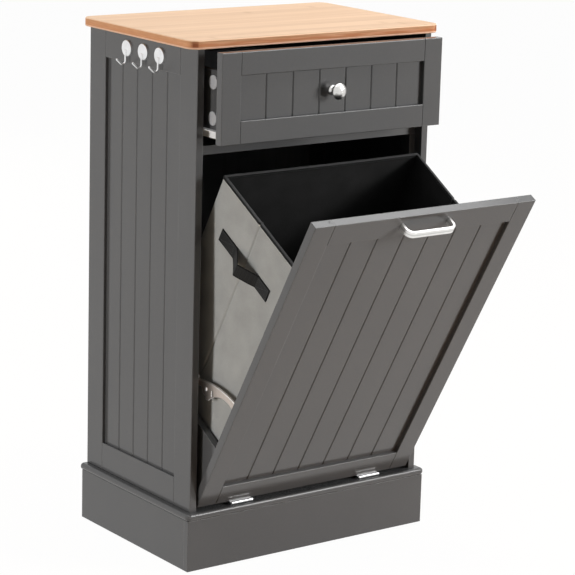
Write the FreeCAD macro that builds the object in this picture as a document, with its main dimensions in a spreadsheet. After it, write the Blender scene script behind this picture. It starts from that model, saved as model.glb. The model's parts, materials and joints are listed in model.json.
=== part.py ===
import FreeCAD, Part
import math
import os
import re

# Tilt-out waste cabinet: bamboo top, one drawer and a bottom-hinged door that carries a soft bin.
# Millimetres, +Z up, +Y to the back, +X to the right seen from the front. The origin is on the
# floor, at mid width, in the plane of the carcass front.

# Driving sizes: alias, value, what it measures
SIZES = [
    ("body_width", 485, "carcass, outside of both sides"),
    ("body_depth", 330, "carcass, front to back"),
    ("side_height", 784, "side frames, base board to top board"),
    ("side_thickness", 13, "side frames"),
    ("side_stile_width", 50, "upright of a side frame"),
    ("side_rail_width", 49, "cross member of a side frame"),
    ("side_panel_recess", 6, "side panel face behind the frame face"),
    ("side_panel_thickness", 4, "grooved side panel"),
    ("side_boards", 5, "boards that the grooves draw on a side panel"),
    ("tongue", 6, "panel and rail tongues in their grooves"),
    ("tongue_play", 0.5, "groove deeper than the tongue"),
    ("groove_depth", 2, "V grooves of the panels"),
    ("edge_ease", 0.8, "eased front edges of frame members"),
    ("top_side_overhang", 15.5, "top board beyond a side"),
    ("top_thickness", 15, "top board"),
    ("top_front_overhang", 6.5, "top board in front of the carcass"),
    ("top_rear_overhang", 6, "top board behind the carcass"),
    ("top_corner_radius", 20, "upright corners of the top board"),
    ("top_edge_radius", 2, "upper and lower edges of the top board"),
    ("plinth_side", 10, "plinth face beyond a side"),
    ("plinth_height", 89, "plinth boards"),
    ("plinth_thickness", 12, "plinth boards"),
    ("plinth_front", 10.7, "plinth face in front of the carcass"),
    ("base_thickness", 12, "base board on the plinth"),
    ("base_overhang", 3, "base board beyond the plinth faces"),
    ("base_nose_radius", 5.5, "rounded edge of the base board"),
    ("base_corner_radius", 8, "upright front corners of the base board"),
    ("back_thickness", 4, "back panel"),
    ("back_inset", 2, "back panel in front of the carcass rear"),
    ("divider_thickness", 15, "shelf under the drawer"),
    ("divider_drop", 11, "divider below the drawer front's lower edge"),
    ("stop_width", 11, "door stop blocks across"),
    ("stop_depth", 22, "door stop blocks front to back"),
    ("stop_length", 76, "door stop blocks, below the divider"),
    ("stop_gap", 0.6, "closed door to its stops"),
    ("hook_row_depth", 160, "middle hook behind the carcass front"),
    ("hook_spacing", 50, "hook to hook"),
    ("hook_disc_radius", 14, "hook disc"),
    ("hook_disc_thickness", 4, "hook disc"),
    ("hook_disc_edge", 1.6, "rounded rim of the hook disc"),
    ("hook_wire_radius", 1.7, "hook wire"),
    ("hook_bend_radius", 5.5, "hook bend, wire middle"),
    ("hook_stem", 21, "disc centre to the start of the bend"),
    ("hook_arm", 10.5, "outer arm beyond the bend"),
    ("hook_arm_lean", 48, "outer arm from upright, degrees"),
    ("drawer_opening", 48.4, "drawer pulled out at rest"),
    ("drawer_front_height", 150.5, "drawer front"),
    ("drawer_front_thickness", 15, "drawer front"),
    ("drawer_top_gap", 1.5, "drawer front to the top board"),
    ("drawer_side_gap", 2, "drawer front to a side"),
    ("drawer_frame_width", 38, "stiles and rails of the drawer front"),
    ("front_panel_recess", 7, "drawer and door panel face behind the frame face"),
    ("front_panel_thickness", 5, "grooved drawer and door panels"),
    ("front_boards", 7, "boards that the grooves draw on a front panel"),
    ("runner_space", 12.5, "drawer side to carcass side"),
    ("drawer_board", 12, "drawer sides and back"),
    ("drawer_side_height", 110, "drawer sides"),
    ("drawer_back_height", 88, "drawer back"),
    ("drawer_lift", 8, "drawer side above the front's lower edge"),
    ("drawer_rear_gap", 29, "closed drawer to the back panel"),
    ("drawer_bottom_thickness", 4, "drawer bottom board"),
    ("drawer_bottom_height", 9, "drawer bottom above the side's lower edge"),
    ("drawer_bottom_tongue", 5, "drawer bottom in the grooves of the sides"),
    ("cap_radius", 11.5, "cover caps on the drawer sides"),
    ("cap_thickness", 1.5, "cover caps on the drawer sides"),
    ("cap_setback", 24, "cap centre behind the drawer front"),
    ("cap_low", 31, "lower cap above the side's lower edge"),
    ("cap_spacing", 59.5, "lower to upper cap"),
    ("knob_base_radius", 8.5, "foot of the knob"),
    ("knob_neck_radius", 5, "neck of the knob"),
    ("knob_head_radius", 14, "head of the knob"),
    ("knob_length", 27.5, "knob from its foot to its crown"),
    ("knob_screw_radius", 2, "knob screw"),
    ("knob_screw_grip", 12, "screw thread inside the knob"),
    ("screw_play", 0.1, "screw in its hole"),
    ("runner_sheet", 1.2, "runner steel"),
    ("runner_front", 18, "carcass runner behind the carcass front"),
    ("channel_drop", 1.5, "carcass runner floor below the drawer side"),
    ("channel_width", 10, "carcass runner floor across"),
    ("lip_width", 8, "upper lip of the carcass runner"),
    ("lip_gap", 1, "upper lip above the rolling flange"),
    ("flange_width", 10.5, "rolling flange beside the drawer side"),
    ("roller_radius", 6.3, "runner rollers"),
    ("roller_width", 6, "runner rollers"),
    ("roller_gap", 0.3, "roller to the track it runs on"),
    ("roller_side_gap", 0.6, "roller to the steel beside it"),
    ("roller_setback", 8, "roller centre from its runner's end"),
    ("axle_radius", 1.5, "roller axles"),
    ("axle_play", 0.05, "running fit of rollers and hinge knuckles"),
    ("axle_head_radius", 2.6, "rivet head that keeps a roller"),
    ("axle_head", 0.8, "rivet head thickness"),
    ("door_tilt", 29.8, "door tilted out at rest, degrees"),
    ("door_thickness", 15, "door"),
    ("door_recess", 3.4, "closed door face behind the carcass front"),
    ("door_side_gap", 4, "door to a side"),
    ("door_bottom_gap", 1.2, "closed door above the base board"),
    ("door_top_gap", 7, "closed door below the drawer front"),
    ("door_stile_width", 38, "door uprights"),
    ("door_rail_width", 41, "door cross members"),
    ("hinge_to_face", 5.9, "hinge axis in front of the door face"),
    ("hinge_spacing", 274, "hinge to hinge"),
    ("hinge_length", 44, "hinge knuckles end to end"),
    ("knuckle_radius", 2.5, "hinge knuckles"),
    ("knuckle_gap", 0.3, "knuckle to knuckle and to the base board"),
    ("hinge_pin_radius", 1.2, "hinge pins"),
    ("leaf_thickness", 1, "hinge leaves"),
    ("leaf_reach", 20, "hinge leaf behind the hinge axis"),
    ("leaf_relief", 0.5, "leaf clear of the other leaf's knuckle"),
    ("handle_spacing", 96, "handle leg to leg, middles"),
    ("handle_reach", 24, "handle in front of the door face"),
    ("handle_height", 12, "handle band across"),
    ("handle_depth", 5, "handle band thickness"),
    ("handle_drop", 14, "handle below the door's upper edge"),
    ("handle_bend_radius", 14, "outside of the handle bends"),
    ("handle_edge", 1.4, "rounded edges of the handle"),
    ("handle_screw_radius", 1.6, "handle screws"),
    ("handle_screw_grip", 10, "screw thread inside a handle leg"),
    ("handle_screw_head", 3.4, "radius of a handle screw head"),
    ("screw_head_height", 2, "screw heads"),
    ("stay_radius", 219, "middle of the stay's band about the hinge axis"),
    ("stay_band", 11, "band of the stay across"),
    ("stay_thickness", 2, "stay sheet"),
    ("stay_offset", 11.2, "stay from the carcass side"),
    ("stay_rim", 1.5, "turned rim of the stay, sheet"),
    ("stay_rim_width", 4, "turned rim of the stay, across"),
    ("stay_hook_height", 6, "hook at the stay's end, above its band"),
    ("stay_hook_length", 5, "hook at the stay's end, along its band"),
    ("stay_foot_width", 10.8, "stay foot on the door"),
    ("stay_foot_height", 32, "stay foot on the door"),
    ("stay_foot_sheet", 1.5, "stay foot"),
    ("stay_pin_depth", 26, "stay pin behind the carcass front"),
    ("stay_pin_radius", 2.5, "stay pin"),
    ("stay_pin_head", 4.2, "stay pin head radius"),
    ("stay_play", 0.4, "stay to its pin and bracket"),
    ("stay_post_radius", 3.8, "bracket post that carries the pin"),
    ("stay_plate_sheet", 1.5, "bracket plate"),
    ("stay_plate_width", 22, "bracket plate front to back"),
    ("stay_plate_height", 30, "bracket plate up and down"),
    ("eye_angle", 28.8, "round eye behind the stay's blade, degrees from the door"),
    ("eye_radius", 12.5, "round eye of the stay"),
    ("eye_drop", 7.5, "middle of the eye below the band's middle"),
    ("eye_rivet_radius", 3, "rivet head in the eye"),
    ("eye_rivet_height", 1.4, "rivet head in the eye"),
    ("blade_depth", 25.5, "blade below the band's middle"),
    ("blade_hollow_radius", 56.5, "hollow lower edge of the blade"),
    ("hollow_lean", 31.35, "middle of that hollow from the slit's line, degrees"),
    ("slit_angle", 23.8, "slit in the blade, degrees from the door"),
    ("slit_width", 3.6, "slit in the blade across"),
    ("slit_length", 9, "slit in the blade along the radius"),
    ("slit_drop", 6, "slit below the band's middle"),
    ("slit_margin", 2.7, "blade left between the slit's foot and the hollow"),
    ("tray_thickness", 12, "boards of the bin tray"),
    ("tray_lift", 9.6, "tray above the door's lower edge"),
    ("tray_side_height", 112, "tray sides"),
    ("tray_back_height", 62, "tray back"),
    ("tray_rear_gap", 48, "closed tray to the back panel"),
    ("bin_side_space", 23.8, "bin to a carcass side"),
    ("bin_gap", 2, "bin to the tray's sides and back"),
    ("bin_seat_gap", 0.3, "bin to the door, and its base board to its walls"),
    ("bin_swing_gap", 25, "swinging bin rim to the divider"),
    ("bin_wall", 3, "bin wall"),
    ("rim_height", 5.5, "binding round the bin's mouth"),
    ("rim_stand", 1.2, "binding proud of the bin wall, each face"),
    ("bin_board", 3, "stiff board in the bin's bottom"),
    ("strap_length", 155, "webbing handle, end to end"),
    ("strap_width", 24, "webbing handle across"),
    ("strap_thickness", 1.6, "webbing"),
    ("strap_front_end", 37, "sewn end of a webbing handle, towards the door"),
    ("strap_rear_end", 45, "sewn end of a webbing handle, away from the door"),
    ("strap_peak", 69, "webbing handle's fold behind its front end"),
    ("strap_fold", 7, "width of that fold"),
    ("strap_bow", 22, "webbing handle off the bin at its fold"),
    ("strap_drop", 78, "webbing handle below the bin's mouth"),
]

# Sizes that follow from the driving sizes: alias, formula
DERIVED = [
    ("base_top", "plinth_height + base_thickness"),
    ("top_under", "base_top + side_height"),
    ("inner_half", "body_width / 2 - side_thickness"),
    ("back_front", "body_depth - back_inset - back_thickness"),
    ("top_half", "body_width / 2 + top_side_overhang"),
    ("plinth_half", "body_width / 2 + plinth_side"),
    ("base_half", "plinth_half + base_overhang"),
    ("drawer_front_top", "top_under - drawer_top_gap"),
    ("drawer_front_bottom", "drawer_front_top - drawer_front_height"),
    ("drawer_front_half", "inner_half - drawer_side_gap"),
    ("drawer_half", "inner_half - runner_space"),
    ("drawer_inner", "drawer_half - drawer_board"),
    ("drawer_rear", "back_front - drawer_rear_gap"),
    ("drawer_side_bottom", "drawer_front_bottom + drawer_lift"),
    ("drawer_floor", "drawer_side_bottom + drawer_bottom_height + drawer_bottom_thickness"),
    ("drawer_middle", "(drawer_front_bottom + drawer_front_top) / 2"),
    ("front_panel_rear", "front_panel_recess + front_panel_thickness"),
    ("channel_floor", "drawer_side_bottom - channel_drop"),
    ("roller_axis", "channel_floor + roller_gap + roller_radius"),
    ("flange_under", "roller_axis + roller_radius + roller_gap"),
    ("flange_top", "flange_under + runner_sheet"),
    ("lip_under", "flange_top + lip_gap"),
    ("channel_web", "inner_half - runner_sheet"),
    ("drawer_web", "drawer_half + runner_sheet"),
    ("front_roller_depth", "runner_front + roller_setback"),
    ("rear_roller_depth", "drawer_rear - roller_setback"),
    ("hinge_height", "base_top + knuckle_radius + knuckle_gap"),
    ("hinge_depth", "door_recess - hinge_to_face"),
    ("door_half", "inner_half - door_side_gap"),
    ("door_rear", "hinge_to_face + door_thickness"),
    ("door_bottom", "base_top + door_bottom_gap - hinge_height"),
    ("door_top", "drawer_front_bottom - door_top_gap - hinge_height"),
    ("handle_top", "door_top - handle_drop"),
    ("handle_middle", "handle_top - handle_height / 2"),
    ("handle_half", "handle_spacing / 2 + handle_depth / 2"),
    ("knuckle_third", "hinge_length / 6"),
    ("divider_top", "drawer_front_bottom - divider_drop"),
    ("divider_bottom", "divider_top - divider_thickness"),
    ("stop_front", "door_recess + door_thickness + stop_gap"),
    ("tray_rear", "back_front - tray_rear_gap - tray_thickness - hinge_depth"),
    ("tray_bottom", "door_bottom + tray_lift"),
    ("tray_floor", "tray_bottom + tray_thickness"),
    ("bin_half", "inner_half - bin_side_space"),
    ("tray_half", "bin_half + bin_gap"),
    ("bin_front", "door_rear + bin_seat_gap"),
    ("bin_rear", "tray_rear - bin_gap"),
    ("bin_middle", "(bin_front + bin_rear) / 2"),
    ("swing_radius", "divider_bottom - hinge_height - bin_swing_gap"),
    ("rim_top", "sqrt(swing_radius * swing_radius - bin_rear * bin_rear)"),
    ("rim_bottom", "rim_top - rim_height"),
    ("stay_pin_reach", "stay_pin_depth - hinge_depth"),
    ("stay_pin_circle", "band_outer + stay_play + stay_pin_radius"),
    ("stay_pin_rise", "sqrt(stay_pin_circle * stay_pin_circle - stay_pin_reach * stay_pin_reach)"),
    ("stay_pin_height", "hinge_height + stay_pin_rise"),
    ("stay_outer", "inner_half - stay_offset"),
    ("stay_inner", "stay_outer - stay_thickness"),
    ("post_inner", "stay_outer + stay_play"),
    ("pin_head_outer", "stay_outer - stay_rim_width - stay_play"),
    ("band_inner", "stay_radius - stay_band / 2"),
    ("band_outer", "stay_radius + stay_band / 2"),
    ("hook_height", "top_under - side_rail_width / 2"),
]

SIDES = (("left", -1), ("right", 1))

doc = FreeCAD.newDocument("TiltOutCabinet")
sheet = doc.addObject("Spreadsheet::Sheet", "Sizes")
for row, (alias, value, note) in enumerate(SIZES, start=1):
    sheet.set(f"A{row}", note)
    sheet.set(f"B{row}", str(value))
    sheet.setAlias(f"B{row}", alias)
for row, (alias, text) in enumerate(DERIVED, start=len(SIZES) + 1):
    sheet.set(f"A{row}", "worked out")
    sheet.set(f"B{row}", "=" + text)
    sheet.setAlias(f"B{row}", alias)
doc.recompute()

ALIASES = {alias for alias, *_ in SIZES + DERIVED}
nodes = []


def size(alias):
    """The present value of a sheet cell."""
    return float(sheet.get(alias))


def formula(text):
    """An expression for the document, with each alias pointed at the sheet."""
    def point(word):
        return f"Sizes.{word.group()}" if word.group() in ALIASES else word.group()
    return re.sub(r"[a-z][a-z_]*", point, str(text))


def bind(piece, **properties):
    """Bind properties of an object to formulas of the sheet's aliases."""
    for name, text in properties.items():
        piece.setExpression(name, formula(text))


def put(piece, x, y, z):
    """Bind an object's place."""
    for axis, text in zip("xyz", (x, y, z)):
        piece.setExpression(f"Placement.Base.{axis}", formula(text))


def block(name, x, y, z):
    """A box given by its from-to spans."""
    piece = doc.addObject("Part::Box", name)
    for side, span in zip(("Length", "Width", "Height"), (x, y, z)):
        bind(piece, **{side: f"({span[1]}) - ({span[0]})"})
    put(piece, x[0], y[0], z[0])
    return piece


def rod(name, radius, axis, span, middle):
    """A round bar along an axis, from-to along it, at the two other coordinates of middle."""
    piece = doc.addObject("Part::Cylinder", name)
    turn = {"x": ((0, 1, 0), 90), "y": ((1, 0, 0), -90), "z": ((0, 0, 1), 0)}[axis]
    piece.Placement.Rotation = FreeCAD.Rotation(FreeCAD.Vector(*turn[0]), turn[1])
    bind(piece, Radius=radius, Height=f"({span[1]}) - ({span[0]})")
    place = list(middle)
    place.insert("xyz".index(axis), span[0])
    put(piece, *place)
    return piece


def sector(name, radius, start, sweep, x):
    """A pie slice about the hinge axis, its angles counted from upright towards the back."""
    piece = doc.addObject("Part::Cylinder", name)
    lie = FreeCAD.Rotation(FreeCAD.Vector(0, 1, 0), -90)
    piece.Placement.Rotation = lie.multiply(FreeCAD.Rotation(FreeCAD.Vector(0, 0, 1), start))
    piece.Angle = sweep
    bind(piece, Radius=radius, Height=f"({x[1]}) - ({x[0]})")
    put(piece, x[1], "0", "0")
    return piece


def cut(name, base, *tools):
    """A piece with one or more others taken out of it."""
    piece = doc.addObject("Part::Cut", name)
    piece.Base = base
    piece.Tool = tools[0] if len(tools) == 1 else group(f"{name}_tools", *tools)
    return piece


def join(name, *pieces):
    """Several overlapping shapes as one solid."""
    piece = doc.addObject("Part::MultiFuse", name)
    piece.Shapes = list(pieces)
    return piece


def group(name, *pieces):
    """Separate solids as one object."""
    piece = doc.addObject("Part::Compound", name)
    piece.Links = list(pieces)
    return piece


def dress(kind, name, base, amount, choose):
    """A fillet or chamfer on the edges that choose picks."""
    doc.recompute()
    piece = doc.addObject(kind, name)
    piece.Base = base
    picked = [index for index, edge in enumerate(base.Shape.Edges, start=1) if choose(edge)]
    piece.Edges = [(index, amount, amount) for index in picked]
    return piece


def flat_at(axis, value):
    """Picks the edges that lie in the plane where a coordinate has a value."""
    def choose(edge):
        return all(abs(getattr(point.Point, axis) - value) < 1e-4 for point in edge.Vertexes)
    return choose


def upright(edge):
    """Picks the edges that run straight up."""
    box = edge.BoundBox
    return box.XLength < 1e-4 and box.YLength < 1e-4


def reach(sign, near, far):
    """A span across, from near to far off the middle plane, on the left or the right."""
    return (near, far) if sign > 0 else (f"-({far})", f"-({near})")


def node(label, *pieces, carrier="cabinet"):
    """A named sub-part. Drawer pieces are modelled closed and pulled out here. Door pieces are
    modelled upright about the hinge axis, and tilted and set on that axis here."""
    piece = pieces[0]
    if carrier != "cabinet" or len(pieces) > 1:
        piece = group(f"{label}_set", *pieces)
    piece.Label = label
    if carrier == "drawer":
        put(piece, "0", "-drawer_opening", "0")
    if carrier == "door":
        piece.Placement.Rotation = FreeCAD.Rotation(FreeCAD.Vector(1, 0, 0), size("door_tilt"))
        put(piece, "0", "hinge_depth", "hinge_height")
        piece.setExpression("Placement.Rotation.Angle", formula("door_tilt"))
    nodes.append(piece)


def lay(facing, face, across, depth, up):
    """Spans of a board in a frame that faces front, left or right: across it, into it, up it."""
    if facing == "front":
        return across, (f"{face} + {depth[0]}", f"{face} + {depth[1]}"), up
    if facing == "left":
        return (f"{depth[0]} - ({face})", f"{depth[1]} - ({face})"), across, up
    return (f"{face} - ({depth[1]})", f"{face} - ({depth[0]})"), across, up


def grooved_panel(name, facing, face, recess, thickness, boards, across, up, inner):
    """A thin panel whose V grooves draw equal boards between the stiles' inner edges."""
    blank = block(f"{name}_blank", *lay(facing, face, across, (recess, f"{recess} + {thickness}"), up))
    grooves = []
    for index in range(1, int(size(boards))):
        middle = f"{inner[0]} + ({inner[1]} - ({inner[0]})) * {index} / {boards}"
        bar = doc.addObject("Part::Prism", f"{name}_groove_{index}")
        bar.Polygon = 4
        bind(bar, Circumradius="groove_depth", Height=f"({up[1]}) - ({up[0]})")
        x, y, z = lay(facing, face, (middle, middle), (recess, recess), up)
        put(bar, x[0], y[0], z[0])
        grooves.append(bar)
    return cut(name, blank, *grooves)


def framed_panel(prefix, facing, face, thickness, across, up, stile, rail, recess, sheet_thickness,
                 boards, carrier, extras=None):
    """Two full-height stiles, two rails tongued between them and a grooved panel in their grooves.
    extras gives the tools that cut more out of a member, by the member's name."""
    extras = extras or {}
    low, high = across
    inner = (f"{low} + {stile}", f"{high} - {stile}")
    tongue_span = (recess, f"{recess} + {sheet_thickness}")
    deep = "(tongue + tongue_play)"
    face_axis = "y" if facing == "front" else "x"
    first, second = ("left", "right") if facing == "front" else ("front", "rear")
    members = {
        f"{first}_stile": ((low, inner[0]), up),
        f"{second}_stile": ((inner[1], high), up),
        "top_rail": (inner, (f"{up[1]} - {rail}", up[1])),
        "bottom_rail": (inner, (up[0], f"{up[0]} + {rail}")),
    }
    grooves = {
        f"{first}_stile": ((f"{inner[0]} - {deep}", inner[0]), up),
        f"{second}_stile": ((inner[1], f"{inner[1]} + {deep}"), up),
        "top_rail": ((f"{inner[0]} - tongue", f"{inner[1]} + tongue"),
                     (f"{up[1]} - {rail}", f"{up[1]} - {rail} + {deep}")),
        "bottom_rail": ((f"{inner[0]} - tongue", f"{inner[1]} + tongue"),
                        (f"{up[0]} + {rail} - {deep}", f"{up[0]} + {rail}")),
    }
    for member, (width, height) in members.items():
        label = f"{prefix}_{member}"
        blank = block(f"{label}_blank", *lay(facing, face, width, ("0", thickness), height))
        doc.recompute()
        box = blank.Shape.BoundBox
        front = {"front": box.YMin, "left": box.XMin, "right": box.XMax}[facing]
        eased = dress("Part::Chamfer", f"{label}_eased", blank, size("edge_ease"),
                      flat_at(face_axis, front))
        if member.endswith("rail"):
            tongues = block(f"{label}_tongues", *lay(
                facing, face, (f"{inner[0]} - tongue", f"{inner[1]} + tongue"), tongue_span, height))
            eased = join(f"{label}_tongued", eased, tongues)
        groove = block(f"{label}_groove", *lay(facing, face, grooves[member][0], tongue_span,
                                               grooves[member][1]))
        node(label, cut(f"{label}_cut", eased, groove, *extras.get(member, ())), carrier=carrier)
    panel = grooved_panel(f"{prefix}_panel_cut", facing, face, recess, sheet_thickness, boards,
                          (f"{inner[0]} - tongue", f"{inner[1]} + tongue"),
                          (f"{up[0]} + {rail} - tongue", f"{up[1]} - {rail} + tongue"), inner)
    panel_tools = extras.get("panel", ())
    if panel_tools:
        panel = cut(f"{prefix}_panel_drilled", panel, *panel_tools)
    node(f"{prefix}_panel", panel, carrier=carrier)


def make_top_and_base():
    """Bamboo top, base board with a rounded nose on three sides, and the plinth under it."""
    top = block("top_blank", ("-top_half", "top_half"),
                ("-top_front_overhang", "body_depth + top_rear_overhang"),
                ("top_under", "top_under + top_thickness"))
    cornered = dress("Part::Fillet", "top_cornered", top, size("top_corner_radius"), upright)
    doc.recompute()
    levels = [flat_at("z", size("top_under")), flat_at("z", size("top_under") + size("top_thickness"))]
    node("top_board", dress("Part::Fillet", "top_eased", cornered, size("top_edge_radius"),
                            lambda edge: any(level(edge) for level in levels)))

    base = block("base_blank", ("-base_half", "base_half"), ("-(plinth_front + base_overhang)", "body_depth"),
                 ("plinth_height", "base_top"))
    front = -(size("plinth_front") + size("base_overhang"))
    cornered = dress("Part::Fillet", "base_cornered", base, size("base_corner_radius"),
                     lambda edge: upright(edge) and flat_at("y", front)(edge))
    rear = flat_at("y", size("body_depth"))
    levels = [flat_at("z", size("plinth_height")), flat_at("z", size("base_top"))]
    node("base_board", dress("Part::Fillet", "base_nosed", cornered, size("base_nose_radius"),
                             lambda edge: any(level(edge) for level in levels) and not rear(edge)))

    height = ("0", "plinth_height")
    inside = "plinth_half - plinth_thickness"
    behind_front = "plinth_thickness - plinth_front"
    node("plinth_front_board", block("plinth_front_blank", ("-plinth_half", "plinth_half"),
                                     ("-plinth_front", behind_front), height))
    node("plinth_rear_board", block("plinth_rear_blank", (f"-({inside})", inside),
                                    ("body_depth - plinth_thickness", "body_depth"), height))
    for side, sign in SIDES:
        node(f"plinth_{side}_board", block(f"plinth_{side}_blank", reach(sign, inside, "plinth_half"),
                                           (behind_front, "body_depth"), height))


def make_carcass():
    """Side frames, back panel, divider under the drawer and the blocks that stop the door."""
    for side, _ in SIDES:
        framed_panel(f"{side}_side", side, "body_width / 2", "side_thickness", ("0", "body_depth"),
                     ("base_top", "top_under"), "side_stile_width", "side_rail_width",
                     "side_panel_recess", "side_panel_thickness", "side_boards", "cabinet")
    width = ("-inner_half", "inner_half")
    node("back_panel", block("back_blank", width, ("back_front", "back_front + back_thickness"),
                             ("base_top", "top_under")))
    node("drawer_divider", block("divider_blank", width, ("stop_front", "back_front"),
                                 ("divider_bottom", "divider_top")))
    stops = [block(f"{side}_stop", reach(sign, "inner_half - stop_width", "inner_half"),
                   ("stop_front", "stop_front + stop_depth"),
                   ("divider_bottom - stop_length", "divider_bottom")) for side, sign in SIDES]
    node("door_stop_blocks", *stops)


def make_hooks():
    """Three hooks on the left side: a disc, a stem down its face, a bend and an outer arm."""
    wall = -size("body_width") / 2
    face = wall - size("hook_disc_thickness")
    stem_x = face - size("hook_wire_radius") * 0.4
    bend = size("hook_bend_radius")
    wire = size("hook_wire_radius")
    lean = size("hook_arm_lean")
    drop = size("hook_height") - size("hook_stem")
    hooks = []
    for index in (-1, 0, 1):
        y = size("hook_row_depth") + index * size("hook_spacing")
        name = f"hook_{index + 2}"
        middle = (f"hook_row_depth + {index} * hook_spacing", "hook_height")
        disc = rod(f"{name}_disc", "hook_disc_radius", "x",
                   ("-(body_width / 2 + hook_disc_thickness)", "-body_width / 2"), middle)
        rounded = dress("Part::Fillet", f"{name}_rounded", disc, size("hook_disc_edge"), flat_at("x", face))
        # Stem, bend and arm follow one wire in the plane across the side
        lower = FreeCAD.Vector(stem_x, y, drop)
        centre = lower + FreeCAD.Vector(-bend, 0, 0)
        turn = math.radians(180 - lean)
        arm_start = centre + FreeCAD.Vector(bend * math.cos(turn), 0, -bend * math.sin(turn))
        halfway = centre + FreeCAD.Vector(bend * math.cos(turn / 2), 0, -bend * math.sin(turn / 2))
        along = FreeCAD.Vector(-math.sin(math.radians(lean)), 0, math.cos(math.radians(lean)))
        tip = arm_start + along * size("hook_arm")
        upper = FreeCAD.Vector(stem_x, y, size("hook_height") - size("hook_disc_radius") * 0.3)
        path = Part.Wire([Part.LineSegment(upper, lower).toShape(),
                          Part.Arc(lower, halfway, arm_start).toShape(),
                          Part.LineSegment(arm_start, tip).toShape()])
        section = Part.Wire(Part.makeCircle(wire, upper, FreeCAD.Vector(0, 0, -1)))
        rope = doc.addObject("Part::Feature", f"{name}_wire")
        rope.Shape = path.makePipeShell([section], True, False)
        ball = doc.addObject("Part::Sphere", f"{name}_tip")
        bind(ball, Radius="hook_wire_radius")
        ball.Placement.Base = tip
        crown = doc.addObject("Part::Sphere", f"{name}_crown")
        bind(crown, Radius="hook_wire_radius")
        crown.Placement.Base = upper
        hooks.append(join(f"{name}_whole", rounded, rope, ball, crown))
    node("side_hooks", *hooks)


def make_runners():
    """Roller runners: a channel on each carcass side, a stepped rail on each drawer side, and one
    roller on a riveted axle at the channel's front and at the rail's rear."""
    roller_span = ("drawer_web + 2 * roller_side_gap", "drawer_web + 2 * roller_side_gap + roller_width")
    parts = {"channel": [], "rail": [], "front_roller": [], "rear_roller": [], "front_axle": [],
             "rear_axle": []}
    for side, sign in SIDES:
        length = ("runner_front", "back_front - drawer_rear_gap / 2")
        channel = join(
            f"{side}_channel",
            block(f"{side}_channel_web", reach(sign, "channel_web", "inner_half"), length,
                  ("channel_floor - runner_sheet", "lip_under + runner_sheet")),
            block(f"{side}_channel_floor", reach(sign, "inner_half - channel_width", "inner_half"), length,
                  ("channel_floor - runner_sheet", "channel_floor")),
            block(f"{side}_channel_lip", reach(sign, "inner_half - lip_width", "inner_half"), length,
                  ("lip_under", "lip_under + runner_sheet")))
        parts["channel"].append(channel)

        length = ("drawer_front_thickness", "drawer_rear")
        low = "drawer_side_bottom - runner_sheet"
        rail = join(
            f"{side}_rail",
            block(f"{side}_rail_web", reach(sign, "drawer_half", "drawer_web"), length, (low, "flange_top")),
            block(f"{side}_rail_seat", reach(sign, "drawer_inner", "drawer_web"), length,
                  (low, "drawer_side_bottom")),
            block(f"{side}_rail_flange", reach(sign, "drawer_half", "drawer_half + flange_width"), length,
                  ("flange_under", "flange_top")))
        parts["rail"].append(rail)

        places = {"front": ("front_roller_depth", "roller_axis"), "rear": ("rear_roller_depth", "roller_axis")}
        for end, middle in places.items():
            wheel = rod(f"{side}_{end}_wheel", "roller_radius", "x", reach(sign, *roller_span), middle)
            bore = rod(f"{side}_{end}_wheel_bore", "axle_radius + axle_play", "x",
                       reach(sign, *roller_span), middle)
            parts[f"{end}_roller"].append(cut(f"{side}_{end}_roller", wheel, bore))
        inner_end, outer_end = roller_span
        shank = reach(sign, f"{inner_end} - roller_side_gap / 2", "channel_web")
        head = reach(sign, f"{inner_end} - roller_side_gap / 2 - axle_head",
                     f"{inner_end} - roller_side_gap / 2")
        parts["front_axle"].append(join(
            f"{side}_front_axle",
            rod(f"{side}_front_shank", "axle_radius", "x", shank, places["front"]),
            rod(f"{side}_front_head", "axle_head_radius", "x", head, places["front"])))
        shank = reach(sign, "drawer_web", f"{outer_end} + roller_side_gap / 2")
        head = reach(sign, f"{outer_end} + roller_side_gap / 2",
                     f"{outer_end} + roller_side_gap / 2 + axle_head")
        parts["rear_axle"].append(join(
            f"{side}_rear_axle",
            rod(f"{side}_rear_shank", "axle_radius", "x", shank, places["rear"]),
            rod(f"{side}_rear_head", "axle_head_radius", "x", head, places["rear"])))
    node("cabinet_runners", *parts["channel"])
    node("cabinet_roller_axles", *parts["front_axle"])
    node("cabinet_rollers", *parts["front_roller"])
    node("drawer_runners", *parts["rail"], carrier="drawer")
    node("drawer_roller_axles", *parts["rear_axle"], carrier="drawer")
    node("drawer_rollers", *parts["rear_roller"], carrier="drawer")


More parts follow.
